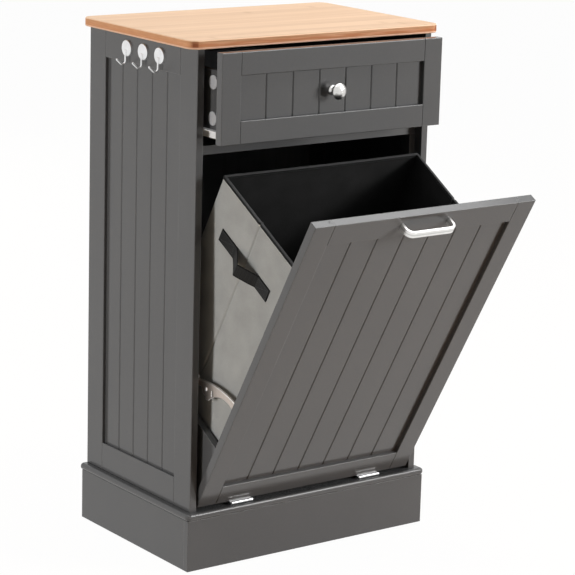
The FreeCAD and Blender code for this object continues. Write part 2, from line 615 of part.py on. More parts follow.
def make_drawer():
    """Drawer front, box, cover caps and knob, modelled closed."""
    screw_middle = ("0", "drawer_middle")
    hole = rod("knob_hole", "knob_screw_radius + screw_play", "y",
               ("front_panel_recess", "front_panel_rear"), screw_middle)
    framed_panel("drawer_front", "front", "0", "drawer_front_thickness",
                 ("-drawer_front_half", "drawer_front_half"), ("drawer_front_bottom", "drawer_front_top"),
                 "drawer_frame_width", "drawer_frame_width", "front_panel_recess", "front_panel_thickness",
                 "front_boards", "drawer", {"panel": (hole,)})

    length = ("drawer_front_thickness", "drawer_rear")
    under = "drawer_side_bottom + drawer_bottom_height"
    tongue_reach = "drawer_inner + drawer_bottom_tongue"
    caps = []
    for side, sign in SIDES:
        board = block(f"drawer_{side}_blank", reach(sign, "drawer_inner", "drawer_half"), length,
                      ("drawer_side_bottom", "drawer_side_bottom + drawer_side_height"))
        groove = block(f"drawer_{side}_groove",
                       reach(sign, "drawer_inner", f"{tongue_reach} + tongue_play"), length,
                       (under, "drawer_floor"))
        node(f"drawer_{side}_side", cut(f"drawer_{side}_cut", board, groove), carrier="drawer")
        for level in ("0", "cap_spacing"):
            caps.append(rod(f"{side}_cap_{level}", "cap_radius", "x",
                            reach(sign, "drawer_half", "drawer_half + cap_thickness"),
                            ("drawer_front_thickness + cap_setback",
                             f"drawer_side_bottom + cap_low + {level}")))
    node("drawer_bottom", block("drawer_bottom_blank", (f"-({tongue_reach})", tongue_reach), length,
                                (under, "drawer_floor")), carrier="drawer")
    node("drawer_back", block("drawer_back_blank", ("-drawer_inner", "drawer_inner"),
                              ("drawer_rear - drawer_board", "drawer_rear"),
                              ("drawer_floor", "drawer_floor + drawer_back_height")), carrier="drawer")
    node("drawer_cover_caps", *caps, carrier="drawer")
    node("drawer_knob", make_knob(), carrier="drawer")
    shank = rod("knob_screw_shank", "knob_screw_radius", "y",
                ("front_panel_recess - knob_screw_grip", "front_panel_rear"), screw_middle)
    head = rod("knob_screw_head", "2 * knob_screw_radius", "y",
               ("front_panel_rear", "front_panel_rear + screw_head_height"), screw_middle)
    node("drawer_knob_screw", join("knob_screw", shank, head), carrier="drawer")


def make_knob():
    """Mushroom knob turned about its screw: a foot, a waisted neck and a domed head."""
    foot = size("knob_base_radius")
    neck = size("knob_neck_radius")
    head = size("knob_head_radius")
    tall = size("knob_length")
    bore = size("knob_screw_radius") + size("screw_play")
    grip = size("knob_screw_grip") + size("screw_play")
    foot_top = 0.07 * tall
    waist = 0.3 * tall
    brim = 0.65 * tall
    shoulder = 0.78 * tall
    rim = 0.95 * head
    # The dome is part of a ball whose middle lies on the knob's axis
    ball = (rim ** 2 + (tall - shoulder) ** 2) / (2 * (tall - shoulder))
    lean = math.asin(rim / ball) / 2

    body = doc.addObject("PartDesign::Body", "knob_body")
    sketch = body.newObject("Sketcher::SketchObject", "knob_profile")
    plane = [item for item in body.Origin.OriginFeatures if item.Role == "XZ_Plane"][0]
    sketch.AttachmentSupport = [(plane, "")]
    sketch.MapMode = "FlatFace"

    def at(radius, along):
        return FreeCAD.Vector(radius, along, 0)

    outline = [
        Part.LineSegment(at(bore, 0), at(foot, 0)),
        Part.LineSegment(at(foot, 0), at(foot, foot_top)),
        Part.Arc(at(foot, foot_top), at(neck + 0.25 * (foot - neck), 0.17 * tall), at(neck, waist)),
        Part.Arc(at(neck, waist), at(neck + 0.35 * (head - neck), 0.5 * tall), at(0.93 * head, brim)),
        Part.Arc(at(0.93 * head, brim), at(head, 0.5 * (brim + shoulder)), at(rim, shoulder)),
        Part.Arc(at(rim, shoulder), at(ball * math.sin(lean), tall - ball + ball * math.cos(lean)),
                 at(0, tall)),
        Part.LineSegment(at(0, tall), at(0, grip)),
        Part.LineSegment(at(0, grip), at(bore, grip)),
        Part.LineSegment(at(bore, grip), at(bore, 0)),
    ]
    for line in outline:
        sketch.addGeometry(line, False)
    turned = body.newObject("PartDesign::Revolution", "knob_turned")
    turned.Profile = sketch
    turned.ReferenceAxis = (sketch, ["V_Axis"])
    turned.Angle = 360
    body.Placement.Rotation = FreeCAD.Rotation(FreeCAD.Vector(1, 0, 0), 90)
    put(body, "0", "front_panel_recess", "drawer_middle")
    return body


def make_door():
    """Door front with its handle, modelled upright about the hinge axis."""
    leaf_spans = [(f"{sign} * hinge_spacing / 2 - hinge_length / 2",
                   f"{sign} * hinge_spacing / 2 + hinge_length / 2") for sign in (-1, 1)]
    mortises = [block(f"mortise_{index}", span, ("0", "leaf_reach + knuckle_gap"),
                      ("door_bottom", "door_bottom + leaf_thickness"))
                for index, span in enumerate(leaf_spans, start=1)]
    sunk = "door_rear - screw_head_height - screw_play"
    holes = []
    for side, sign in SIDES:
        middle = (f"{sign} * handle_spacing / 2", "handle_middle")
        holes.append(rod(f"handle_hole_{side}", "handle_screw_radius + screw_play", "y",
                         ("hinge_to_face", "door_rear"), middle))
        holes.append(rod(f"handle_counterbore_{side}", "handle_screw_head + screw_play", "y",
                         (sunk, "door_rear"), middle))
    framed_panel("door", "front", "hinge_to_face", "door_thickness", ("-door_half", "door_half"),
                 ("door_bottom", "door_top"), "door_stile_width", "door_rail_width",
                 "front_panel_recess", "front_panel_thickness", "front_boards", "door",
                 {"bottom_rail": mortises, "top_rail": holes})

    band = ("handle_top - handle_height", "handle_top")
    outer = block("handle_outer", ("-handle_half", "handle_half"),
                  ("hinge_to_face - handle_reach", "hinge_to_face"), band)
    inner = block("handle_inner", ("handle_depth - handle_half", "handle_half - handle_depth"),
                  ("hinge_to_face - handle_reach + handle_depth", "hinge_to_face"), band)
    bend = size("handle_bend_radius")
    thin = size("handle_depth")
    front = size("hinge_to_face") - size("handle_reach")
    outer = dress("Part::Fillet", "handle_bent_outside", outer, bend,
                  lambda edge: upright(edge) and flat_at("y", front)(edge))
    inner = dress("Part::Fillet", "handle_bent_inside", inner, bend - thin,
                  lambda edge: upright(edge) and flat_at("y", front + thin)(edge))
    bow = cut("handle_bow", outer, inner)
    threads = [rod(f"handle_thread_{side}", "handle_screw_radius + screw_play", "y",
                   ("hinge_to_face - handle_screw_grip - screw_play", "hinge_to_face"),
                   (f"{sign} * handle_spacing / 2", "handle_middle")) for side, sign in SIDES]
    levels = [flat_at("z", size("handle_top")), flat_at("z", size("handle_top") - size("handle_height"))]
    foot = flat_at("y", size("hinge_to_face"))
    rounded = dress("Part::Fillet", "handle_rounded", bow, size("handle_edge"),
                    lambda edge: any(level(edge) for level in levels) and not foot(edge))
    node("door_handle", cut("handle_drilled", rounded, *threads), carrier="door")
    screws = []
    for side, sign in SIDES:
        middle = (f"{sign} * handle_spacing / 2", "handle_middle")
        shank = rod(f"handle_shank_{side}", "handle_screw_radius", "y",
                    ("hinge_to_face - handle_screw_grip", sunk), middle)
        head = rod(f"handle_head_{side}", "handle_screw_head", "y",
                   (sunk, f"{sunk} + screw_head_height"), middle)
        screws.append(join(f"handle_screw_{side}", shank, head))
    node("door_handle_screws", *screws, carrier="door")


def make_hinges():
    """Butt hinges under the door. The base leaf has the two outer knuckles and lies on the base
    board, the door leaf has the middle knuckle and is let into the door's lower edge."""
    base_leaves = []
    door_leaves = []
    pins = []
    for side, sign in SIDES:
        middle = f"{sign} * hinge_spacing / 2"
        ends = (f"{middle} - hinge_length / 2", f"{middle} + hinge_length / 2")
        centre = (f"{middle} - knuckle_third", f"{middle} + knuckle_third")
        wide = (f"{middle} - knuckle_third - knuckle_gap", f"{middle} + knuckle_third + knuckle_gap")
        outer = ((ends[0], wide[0]), (wide[1], ends[1]))
        clear = "knuckle_radius + leaf_relief"
        axis = ("hinge_depth", "hinge_height")

        plate = block(f"{side}_base_plate", ends, ("hinge_depth", "hinge_depth + leaf_reach"),
                      ("base_top", "base_top + leaf_thickness"))
        relief = block(f"{side}_base_relief", wide, ("hinge_depth", f"hinge_depth + {clear}"),
                       ("base_top", "base_top + leaf_thickness"))
        knuckles = [rod(f"{side}_base_knuckle_{index}", "knuckle_radius", "x", span, axis)
                    for index, span in enumerate(outer, start=1)]
        whole = join(f"{side}_base_whole", cut(f"{side}_base_notched", plate, relief), *knuckles)
        bore = rod(f"{side}_base_bore", "hinge_pin_radius + axle_play", "x", ends, axis)
        base_leaves.append(cut(f"{side}_base_leaf", whole, bore))

        level = ("door_bottom", "door_bottom + leaf_thickness")
        plate = block(f"{side}_door_plate", ends, ("0", "leaf_reach"), level)
        reliefs = [block(f"{side}_door_relief_{index}", span, ("0", clear), level)
                   for index, span in enumerate(((ends[0], centre[0]), (centre[1], ends[1])), start=1)]
        knuckle = rod(f"{side}_door_knuckle", "knuckle_radius", "x", centre, ("0", "0"))
        whole = join(f"{side}_door_whole", cut(f"{side}_door_notched", plate, *reliefs), knuckle)
        bore = rod(f"{side}_door_bore", "hinge_pin_radius + axle_play", "x", ends, ("0", "0"))
        door_leaves.append(cut(f"{side}_door_leaf", whole, bore))
        pins.append(rod(f"{side}_hinge_pin", "hinge_pin_radius", "x", ends, axis))
    node("hinge_base_leaves", *base_leaves)
    node("hinge_pins", *pins)
    node("hinge_door_leaves", *door_leaves, carrier="door")


def make_stays():
    """Sickle stays: each arm stands on the door's rear and swings under a headed pin on a bracket of
    the front stile. The hook at the arm's end catches that pin and stops the door."""
    tilt = size("door_tilt")
    pin_angle = math.degrees(math.asin(size("stay_pin_reach") / size("stay_pin_circle")))
    pin_half = math.degrees((size("stay_pin_radius") + size("stay_play")) / size("stay_pin_circle"))
    hook_angle = pin_angle + tilt + pin_half
    hook_sweep = math.degrees(size("stay_hook_length") / size("stay_radius"))
    foot_angle = math.degrees(math.asin(size("door_rear") / size("band_outer")))
    band_sweep = hook_angle + hook_sweep - foot_angle
    eye = math.radians(size("eye_angle"))
    eye_middle = (f"(stay_radius - eye_drop) * {math.sin(eye)}", f"(stay_radius - eye_drop) * {math.cos(eye)}")
    slit_sweep = math.degrees(size("slit_width") / size("stay_radius"))
    slit = math.radians(size("slit_angle"))
    lean = math.radians(size("slit_angle") + size("hollow_lean"))
    slit_foot = "(stay_radius - slit_drop - slit_length)"
    hollow_off = "(blade_hollow_radius + slit_margin)"
    hollow_middle = (f"{slit_foot} * {math.sin(slit)} - {hollow_off} * {math.sin(lean)}",
                     f"{slit_foot} * {math.cos(slit)} - {hollow_off} * {math.cos(lean)}")
    arms = []
    brackets = []
    pins = []
    for side, sign in SIDES:
        sheet_span = reach(sign, "stay_inner", "stay_outer")
        rim_span = reach(sign, "stay_outer - stay_rim_width", "stay_outer")
        band = sector(f"{side}_band", "band_outer", foot_angle, band_sweep, sheet_span)
        hook = sector(f"{side}_hook", "band_outer + stay_hook_height", hook_angle, hook_sweep, sheet_span)
        blade = sector(f"{side}_blade", "stay_radius", foot_angle, size("eye_angle") - foot_angle, sheet_span)
        rim = sector(f"{side}_rim", "band_outer", foot_angle, band_sweep, rim_span)
        inside = rod(f"{side}_band_inside", "band_inner", "x", sheet_span, ("0", "0"))
        below = rod(f"{side}_blade_inside", "stay_radius - blade_depth", "x", sheet_span, ("0", "0"))
        hollow = rod(f"{side}_blade_hollow", "blade_hollow_radius", "x", sheet_span, hollow_middle)
        under_rim = rod(f"{side}_rim_inside", "band_outer - stay_rim", "x", rim_span, ("0", "0"))
        in_door = block(f"{side}_door_space", rim_span, ("0", "door_rear"), ("0", "band_outer"))
        foot = block(f"{side}_foot", reach(sign, "stay_outer - stay_foot_width", "stay_outer"),
                     ("door_rear", "door_rear + stay_foot_sheet"),
                     ("stay_radius - stay_foot_height / 2 - stay_band / 2",
                      "stay_radius + stay_foot_height / 2 - stay_band / 2"))
        rivet = rod(f"{side}_eye_rivet", "eye_rivet_radius", "x",
                    reach(sign, "stay_inner", "stay_outer + eye_rivet_height"), eye_middle)
        whole = join(f"{side}_arm_whole",
                     cut(f"{side}_band_cut", band, inside, in_door),
                     cut(f"{side}_hook_cut", hook, inside),
                     cut(f"{side}_blade_cut", blade, below, hollow, in_door),
                     cut(f"{side}_rim_cut", rim, under_rim, in_door),
                     rod(f"{side}_eye", "eye_radius", "x", sheet_span, eye_middle), rivet, foot)
        opening = cut(f"{side}_slit",
                      sector(f"{side}_slit_outer", "stay_radius - slit_drop",
                             size("slit_angle") - slit_sweep / 2, slit_sweep, sheet_span),
                      rod(f"{side}_slit_inner", slit_foot, "x", sheet_span, ("0", "0")))
        arms.append(cut(f"{side}_arm", whole, opening))

        middle = ("stay_pin_depth", "stay_pin_height")
        plate = block(f"{side}_bracket_plate", reach(sign, "inner_half - stay_plate_sheet", "inner_half"),
                      ("stay_pin_depth - stay_plate_width / 2", "stay_pin_depth + stay_plate_width / 2"),
                      ("stay_pin_height - stay_plate_height / 2", "stay_pin_height + stay_plate_height / 2"))
        post = rod(f"{side}_bracket_post", "stay_post_radius", "x", reach(sign, "post_inner", "inner_half"),
                   middle)
        brackets.append(join(f"{side}_bracket", plate, post))
        shank = rod(f"{side}_pin_shank", "stay_pin_radius", "x", reach(sign, "pin_head_outer", "post_inner"),
                    middle)
        head = rod(f"{side}_pin_head", "stay_pin_head", "x",
                   reach(sign, "pin_head_outer - stay_plate_sheet", "pin_head_outer"), middle)
        pins.append(join(f"{side}_stay_pin", shank, head))
    node("stay_arms", *arms, carrier="door")
    node("stay_brackets", *brackets)
    node("stay_pins", *pins)


def make_bin():
    """Tray on the door's rear and the soft bin that stands in it."""
    tray_end = "tray_rear + tray_thickness"
    for side, sign in SIDES:
        node(f"tray_{side}_side", block(f"tray_{side}_blank",
                                        reach(sign, "tray_half", "tray_half + tray_thickness"),
                                        ("door_rear", tray_end),
                                        ("tray_bottom", "tray_bottom + tray_side_height")), carrier="door")
    width = ("-tray_half", "tray_half")
    node("tray_floor_board", block("tray_floor_blank", width, ("door_rear", tray_end),
                                   ("tray_bottom", "tray_floor")), carrier="door")
    node("tray_back", block("tray_back_blank", width, ("tray_rear", tray_end),
                            ("tray_floor", "tray_floor + tray_back_height")), carrier="door")

    wall_half = "bin_half - rim_stand"
    inside_half = f"{wall_half} - bin_wall"
    shell = block("bin_outside", (f"-({wall_half})", wall_half),
                  ("bin_front + rim_stand", "bin_rear - rim_stand"), ("tray_floor", "rim_bottom"))
    hollow = block("bin_inside", (f"-({inside_half})", inside_half),
                   ("bin_front + rim_stand + bin_wall", "bin_rear - rim_stand - bin_wall"),
                   ("tray_floor + bin_wall", "rim_bottom"))
    node("bin_shell", cut("bin_shell_cut", shell, hollow), carrier="door")

    rim_inside = f"{inside_half} - rim_stand"
    rim = block("rim_outside", ("-bin_half", "bin_half"), ("bin_front", "bin_rear"), ("rim_bottom", "rim_top"))
    mouth = block("rim_inside", (f"-({rim_inside})", rim_inside),
                  ("bin_front + 2 * rim_stand + bin_wall", "bin_rear - 2 * rim_stand - bin_wall"),
                  ("rim_bottom", "rim_top"))
    node("bin_rim_binding", cut("rim_cut", rim, mouth), carrier="door")
    node("bin_base_board", block("bin_base_blank", (f"bin_seat_gap - ({inside_half})",
                                                    f"{inside_half} - bin_seat_gap"),
                                 ("bin_front + rim_stand + bin_wall + bin_seat_gap",
                                  "bin_rear - rim_stand - bin_wall - bin_seat_gap"),
                                 ("tray_floor + bin_wall", "tray_floor + bin_wall + bin_board")), carrier="door")
    node("bin_webbing_handles", *[make_strap(side, sign) for side, sign in SIDES], carrier="door")


def make_strap(side, sign):
    """Webbing handle: both ends sewn flat to the bin, the slack between them folded outwards."""
    wall = size("bin_half") - size("rim_stand")
    start = size("bin_middle") - size("strap_length") / 2
    bow = size("strap_bow")
    thick = size("strap_thickness")
    peak = size("strap_peak")
    fold = size("strap_fold") / 2
    end = size("strap_length")
    under = [(0, 0), (size("strap_front_end"), 0), (peak - fold, bow), (peak + fold, bow),
             (end - size("strap_rear_end"), 0), (end, 0)]
    over = [(along, off + thick) for along, off in reversed(under)]
    low = size("rim_top") - size("strap_drop") - size("strap_width")
    points = [FreeCAD.Vector(sign * (wall + off), start + along, low) for along, off in under + over]
    outline = Part.Face(Part.makePolygon(points + points[:1]))
    strap = doc.addObject("Part::Feature", f"{side}_strap")
    strap.Shape = outline.extrude(FreeCAD.Vector(0, 0, size("strap_width")))
    return strap


def check():
    """Stop if any object failed, or if a sub-part has no sound shape."""
    for item in doc.Objects:
        if "Invalid" in item.State or "Error" in item.State:
            raise RuntimeError(f"{item.Name} failed: {item.State}")
    for item in nodes:
        if item.Shape.isNull() or not item.Shape.isValid() or not item.Shape.Solids:
            raise RuntimeError(f"{item.Label} has no sound shape")


make_top_and_base()
make_carcass()
make_hooks()
make_runners()
make_drawer()
make_door()
make_hinges()
make_stays()
make_bin()
doc.recompute()
check()
os.makedirs("parts", exist_ok=True)
for item in nodes:
    item.Shape.exportStep(os.path.join("parts", f"{item.Label}.step"))
    print(f"{item.Label}: {len(item.Shape.Solids)} solids, {item.Shape.Volume:.0f} mm3")
print(f"{len(nodes)} sub-parts")
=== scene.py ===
import json
import math

import bmesh
import bpy
from mathutils import Matrix, Vector, noise


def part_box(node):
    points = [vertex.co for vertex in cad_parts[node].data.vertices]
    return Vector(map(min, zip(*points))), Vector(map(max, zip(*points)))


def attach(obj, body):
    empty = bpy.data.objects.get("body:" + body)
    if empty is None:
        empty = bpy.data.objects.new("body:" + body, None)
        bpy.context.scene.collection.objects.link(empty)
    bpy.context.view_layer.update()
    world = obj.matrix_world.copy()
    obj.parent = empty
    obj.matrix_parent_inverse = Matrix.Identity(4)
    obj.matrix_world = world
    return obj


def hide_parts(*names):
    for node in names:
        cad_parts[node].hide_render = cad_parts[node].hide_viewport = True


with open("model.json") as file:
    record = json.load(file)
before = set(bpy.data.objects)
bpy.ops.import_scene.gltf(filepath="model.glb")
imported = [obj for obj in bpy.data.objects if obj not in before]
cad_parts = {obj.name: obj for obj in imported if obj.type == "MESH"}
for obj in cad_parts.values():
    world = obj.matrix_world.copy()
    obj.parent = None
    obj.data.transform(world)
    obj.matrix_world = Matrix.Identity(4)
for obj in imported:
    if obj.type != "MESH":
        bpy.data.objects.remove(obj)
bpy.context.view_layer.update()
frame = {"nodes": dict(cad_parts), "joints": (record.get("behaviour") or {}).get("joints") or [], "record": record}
scene = bpy.context.scene
scene.view_settings.view_transform = "Standard"
nodes = frame["nodes"]

MM = 0.001
SIDES = (("left", -1), ("right", 1))

# Camera, from the fit to the photograph's straight edges. Angles are in degrees, the lens and the sensor
# in millimetres and the rest in metres.
CAMERA_AZIMUTH = -36.353
CAMERA_ELEVATION = 13.477
CAMERA_ROLL = 1.571
CAMERA_DISTANCE = 4.14843
CAMERA_REACH = 100
CAMERA_LENS = 152.11
CAMERA_SENSOR = 36
AIM_HEIGHT = 0.45
AIM_RIGHT = 0.04063
AIM_UP = -0.01181

# The door frame: its origin is on the hinge axis, y goes into the cabinet, z up the door
door_joint = [joint for joint in frame["joints"] if joint["name"] == "door_tilt"][0]
DOOR_TILT = -math.radians(door_joint["range_deg"][0])
DOOR = Matrix.Translation(door_joint["pos_m"]) @ Matrix.Rotation(DOOR_TILT, 4, "X")


def door_box(name):
    """Lowest and highest corner of a CAD node in the door frame."""
    back = DOOR.inverted()
    points = [back @ vertex.co for vertex in nodes[name].data.vertices]
    low = Vector([min(point[axis] for point in points) for axis in range(3)])
    high = Vector([max(point[axis] for point in points) for axis in range(3)])
    return low, high


# Materials

# Most of a noise texture lies between these values
NOISE_LOW = 0.3
NOISE_HIGH = 0.7
# A wave texture turns by this angle for each unit of its scaled length
WAVE_TURN = 20
# Where a Mix node for colours has its sockets
MIX_FACTOR = 0
MIX_FIRST = 6
MIX_SECOND = 7
MIX_RESULT = 2
# A point is wholly edge where the cosine between the rounded and the flat normal is down to this
WHOLE_EDGE = 0.78
BEVEL_SAMPLES = 6


def tint(colour, factor):
    return tuple(factor * part for part in colour)


class Look:
    """A Principled material with short calls for wiring its texture nodes. A keyword such as
    sheen_weight feeds the shader's socket of that name, here Sheen Weight."""

    def __init__(self, name, on_door=False, **sockets):
        self.material = bpy.data.materials.new(name)
        self.material.use_nodes = True
        self.tree = self.material.node_tree
        self.shader = self.tree.nodes["Principled BSDF"]
        self.where = self.add("ShaderNodeTexCoord").outputs["Object"]
        if on_door:
            turned = {"Vector": self.where, "Location": door_joint["pos_m"], "Rotation": (DOOR_TILT, 0, 0)}
            self.where = self.add("ShaderNodeMapping", turned, vector_type="TEXTURE").outputs["Vector"]
        for socket, value in sockets.items():
            self.feed(socket.replace("_", " ").title().replace("Ior", "IOR"), value)

    def add(self, kind, inputs=None, **settings):
        """A node with its settings, and a value or a link for each input named."""
        node = self.tree.nodes.new(kind)
        for name, value in settings.items():
            setattr(node, name, value)
        for name, value in (inputs or {}).items():
            self.join(value, node.inputs[name])
        return node

    def join(self, value, socket):
        """Link a socket to an output, or set it. A colour gets its alpha."""
        if isinstance(value, bpy.types.NodeSocket):
            self.tree.links.new(value, socket)
        elif socket.type == "RGBA":
            socket.default_value = (*value, 1)
        else:
            socket.default_value = value

    def feed(self, name, value):
        """Link or set an input of the shader."""
        self.join(value, self.shader.inputs[name])

    def parts(self, vector):
        """X, Y and Z of a vector."""
        return self.add("ShaderNodeSeparateXYZ", {"Vector": vector}).outputs

    def noise(self, scale, detail=2.0, stretch=(1, 1, 1)):
        """Noise with so many cells to the metre."""
        place = self.add("ShaderNodeMapping", {"Vector": self.where, "Scale": stretch}).outputs["Vector"]
        return self.noise_at(place, scale, detail)

    def noise_at(self, place, scale, detail):
        inputs = {"Vector": place, "Scale": scale, "Detail": detail}
        return self.add("ShaderNodeTexNoise", inputs).outputs["Fac"]

    def grain(self, parts, scales, detail):
        """Noise over three values, each with its own scale."""
        scaled = {axis: self.times(part, scale) for axis, part, scale in zip("XYZ", parts, scales)}
        place = self.add("ShaderNodeCombineXYZ", scaled).outputs["Vector"]
        return self.noise_at(place, 1.0, detail)

    def chance(self, seed):
        """A steady random share for each whole number."""
        return self.add("ShaderNodeTexWhiteNoise", {"W": seed}, noise_dimensions="1D").outputs["Value"]

    def wave(self, axis, pitch):
        """A sine along an axis of the piece with a pitch in metres."""
        inputs = {"Vector": self.where, "Scale": math.tau / (WAVE_TURN * pitch)}
        return self.add("ShaderNodeTexWave", inputs, bands_direction=axis).outputs["Fac"]

    def span(self, value, low, high, to_low=0.0, to_high=1.0):
        """A value that runs from low to high, made to run between two others."""
        inputs = {"Value": value, "From Min": low, "From Max": high, "To Min": to_low, "To Max": to_high}
        return self.add("ShaderNodeMapRange", inputs).outputs["Result"]

    def spread(self, value, to_low=0.0, to_high=1.0):
        """A noise made to run between two values."""
        return self.span(value, NOISE_LOW, NOISE_HIGH, to_low, to_high)

    def math(self, operation, first, second=0.0):
        node = self.add("ShaderNodeMath", operation=operation)
        self.join(first, node.inputs[0])
        self.join(second, node.inputs[1])
        return node.outputs["Value"]

    def times(self, value, *factors):
        for factor in factors:
            value = self.math("MULTIPLY", value, factor)
        return value

    def away(self, value, middle):
        """How far a value is from a middle, either way."""
        return self.math("ABSOLUTE", self.math("SUBTRACT", value, middle))

    def mix(self, factor, first, second):
        node = self.add("ShaderNodeMix", data_type="RGBA")
        for socket, value in ((MIX_FACTOR, factor), (MIX_FIRST, first), (MIX_SECOND, second)):
            self.join(value, node.inputs[socket])
        return node.outputs[MIX_RESULT]

    def ramp(self, value, stops):
        """A run of colours, each at its share of the way."""
        node = self.add("ShaderNodeValToRGB", {"Fac": value})
        elements = node.color_ramp.elements
        for element, (share, colour) in ((elements[0], stops[0]), (elements[-1], stops[-1])):
            element.position = share
            element.color = (*colour, 1)
        for share, colour in stops[1:-1]:
            elements.new(share).color = (*colour, 1)
        return node.outputs["Color"]

    def bump(self, height, strength, distance, normal=None):
        inputs = {"Height": height, "Strength": strength, "Distance": distance}
        if normal is not None:
            inputs["Normal"] = normal
        return self.add("ShaderNodeBump", inputs).outputs["Normal"]

    def facing(self):
        """How far the surface faces along X, Y and Z, whichever way."""
        parts = self.parts(self.add("ShaderNodeNewGeometry").outputs["Normal"])
        return [self.math("ABSOLUTE", parts[axis]) for axis in "XYZ"]

    def soft_edges(self, radius):
        """A normal that rounds sharp edges off, and how much of an edge each point is."""
        rounded = self.add("ShaderNodeBevel", {"Radius": radius}, samples=BEVEL_SAMPLES).outputs["Normal"]
        flat = self.add("ShaderNodeNewGeometry").outputs["Normal"]
        cosine = self.add("ShaderNodeVectorMath", operation="DOT_PRODUCT")
        self.join(rounded, cosine.inputs[0])
        self.join(flat, cosine.inputs[1])
        return rounded, self.span(cosine.outputs["Value"], 1.0, WHOLE_EDGE)


def paint(name, dark, pale, roughness):
    """Sprayed semi-gloss paint on board: faint clouds, pale specks, a fine orange peel, and pale edges
    that are partly worn and partly a painted highlight.
    """
    look = Look(name, specular_ior_level=0.5)
    rounded, edge = look.soft_edges(1.5 * MM)
    clouds = look.spread(look.noise(6, detail=4))
    specks = look.span(look.noise(420), 0.4, 0.75, 0, 0.15)
    # Edges and groove lips turn paler: partly wear, partly a painted highlight along the arrises
    wear_and_edge_highlight = look.times(edge, 0.8)
    base = look.mix(clouds, dark, pale)
    base = look.mix(specks, base, tint(pale, 1.3))
    look.feed("Base Color", look.mix(wear_and_edge_highlight, base, tint(pale, 2.3)))
    look.feed("Roughness", look.spread(look.noise(55, detail=3), roughness - 0.02, roughness + 0.03))
    peel = look.bump(look.noise(520), strength=0.05, distance=0.4 * MM, normal=rounded)
    look.feed("Normal", look.bump(look.noise(60), strength=0.03, distance=1.2 * MM, normal=peel))
    return look.material


def foil_board(name, colour):
    """Matt printed foil on thin board, with a faint drawn grain."""
    look = Look(name)
    grain = look.noise(90, detail=4, stretch=(1, 1, 0.04))
    look.feed("Base Color", look.mix(look.spread(grain), colour, tint(colour, 1.35)))
    look.feed("Roughness", look.spread(look.noise(40), 0.52, 0.66))
    look.feed("Normal", look.bump(grain, strength=0.08, distance=0.5 * MM))
    return look.material


# Bamboo: strips of cane side by side, which may have a knuckle once in each length
STRIP_WIDTH = 21 * MM
KNUCKLE_LENGTH = 0.3
STRIP_SHIFT = 3.7
STRIP_SEED = 13.0
STRIP_DARK = (0.735, 0.495, 0.322)
STRIP_PALE = (0.815, 0.570, 0.385)
STREAK_COLOUR = (0.640, 0.400, 0.240)
FIBRE_COLOUR = (0.620, 0.385, 0.235)
KNUCKLE_COLOUR = (0.47, 0.25, 0.12)
# The sawn edges from their foot up: a pale foot, a red-brown core and a painted highlight along the arris at the
# top
EDGE_LAYERS_AND_HIGHLIGHT = [
    (0.0, (0.30, 0.16, 0.09)), (0.05, (0.68, 0.41, 0.28)), (0.08, (0.78, 0.50, 0.36)),
    (0.19, (0.76, 0.46, 0.32)), (0.25, (0.50, 0.20, 0.09)), (0.55, (0.52, 0.21, 0.095)),
    (0.66, (0.52, 0.27, 0.14)), (0.84, (0.50, 0.26, 0.13)), (0.91, (0.90, 0.64, 0.45)),
    (1.0, (0.94, 0.70, 0.49))]
PALE_SAW_STREAK = (0.72, 0.40, 0.24)
DARK_SAW_STREAK = (0.34, 0.12, 0.05)
END_GRAIN_COLOUR = (0.66, 0.33, 0.165)
CORNER_COLOUR = (0.24, 0.07, 0.028)


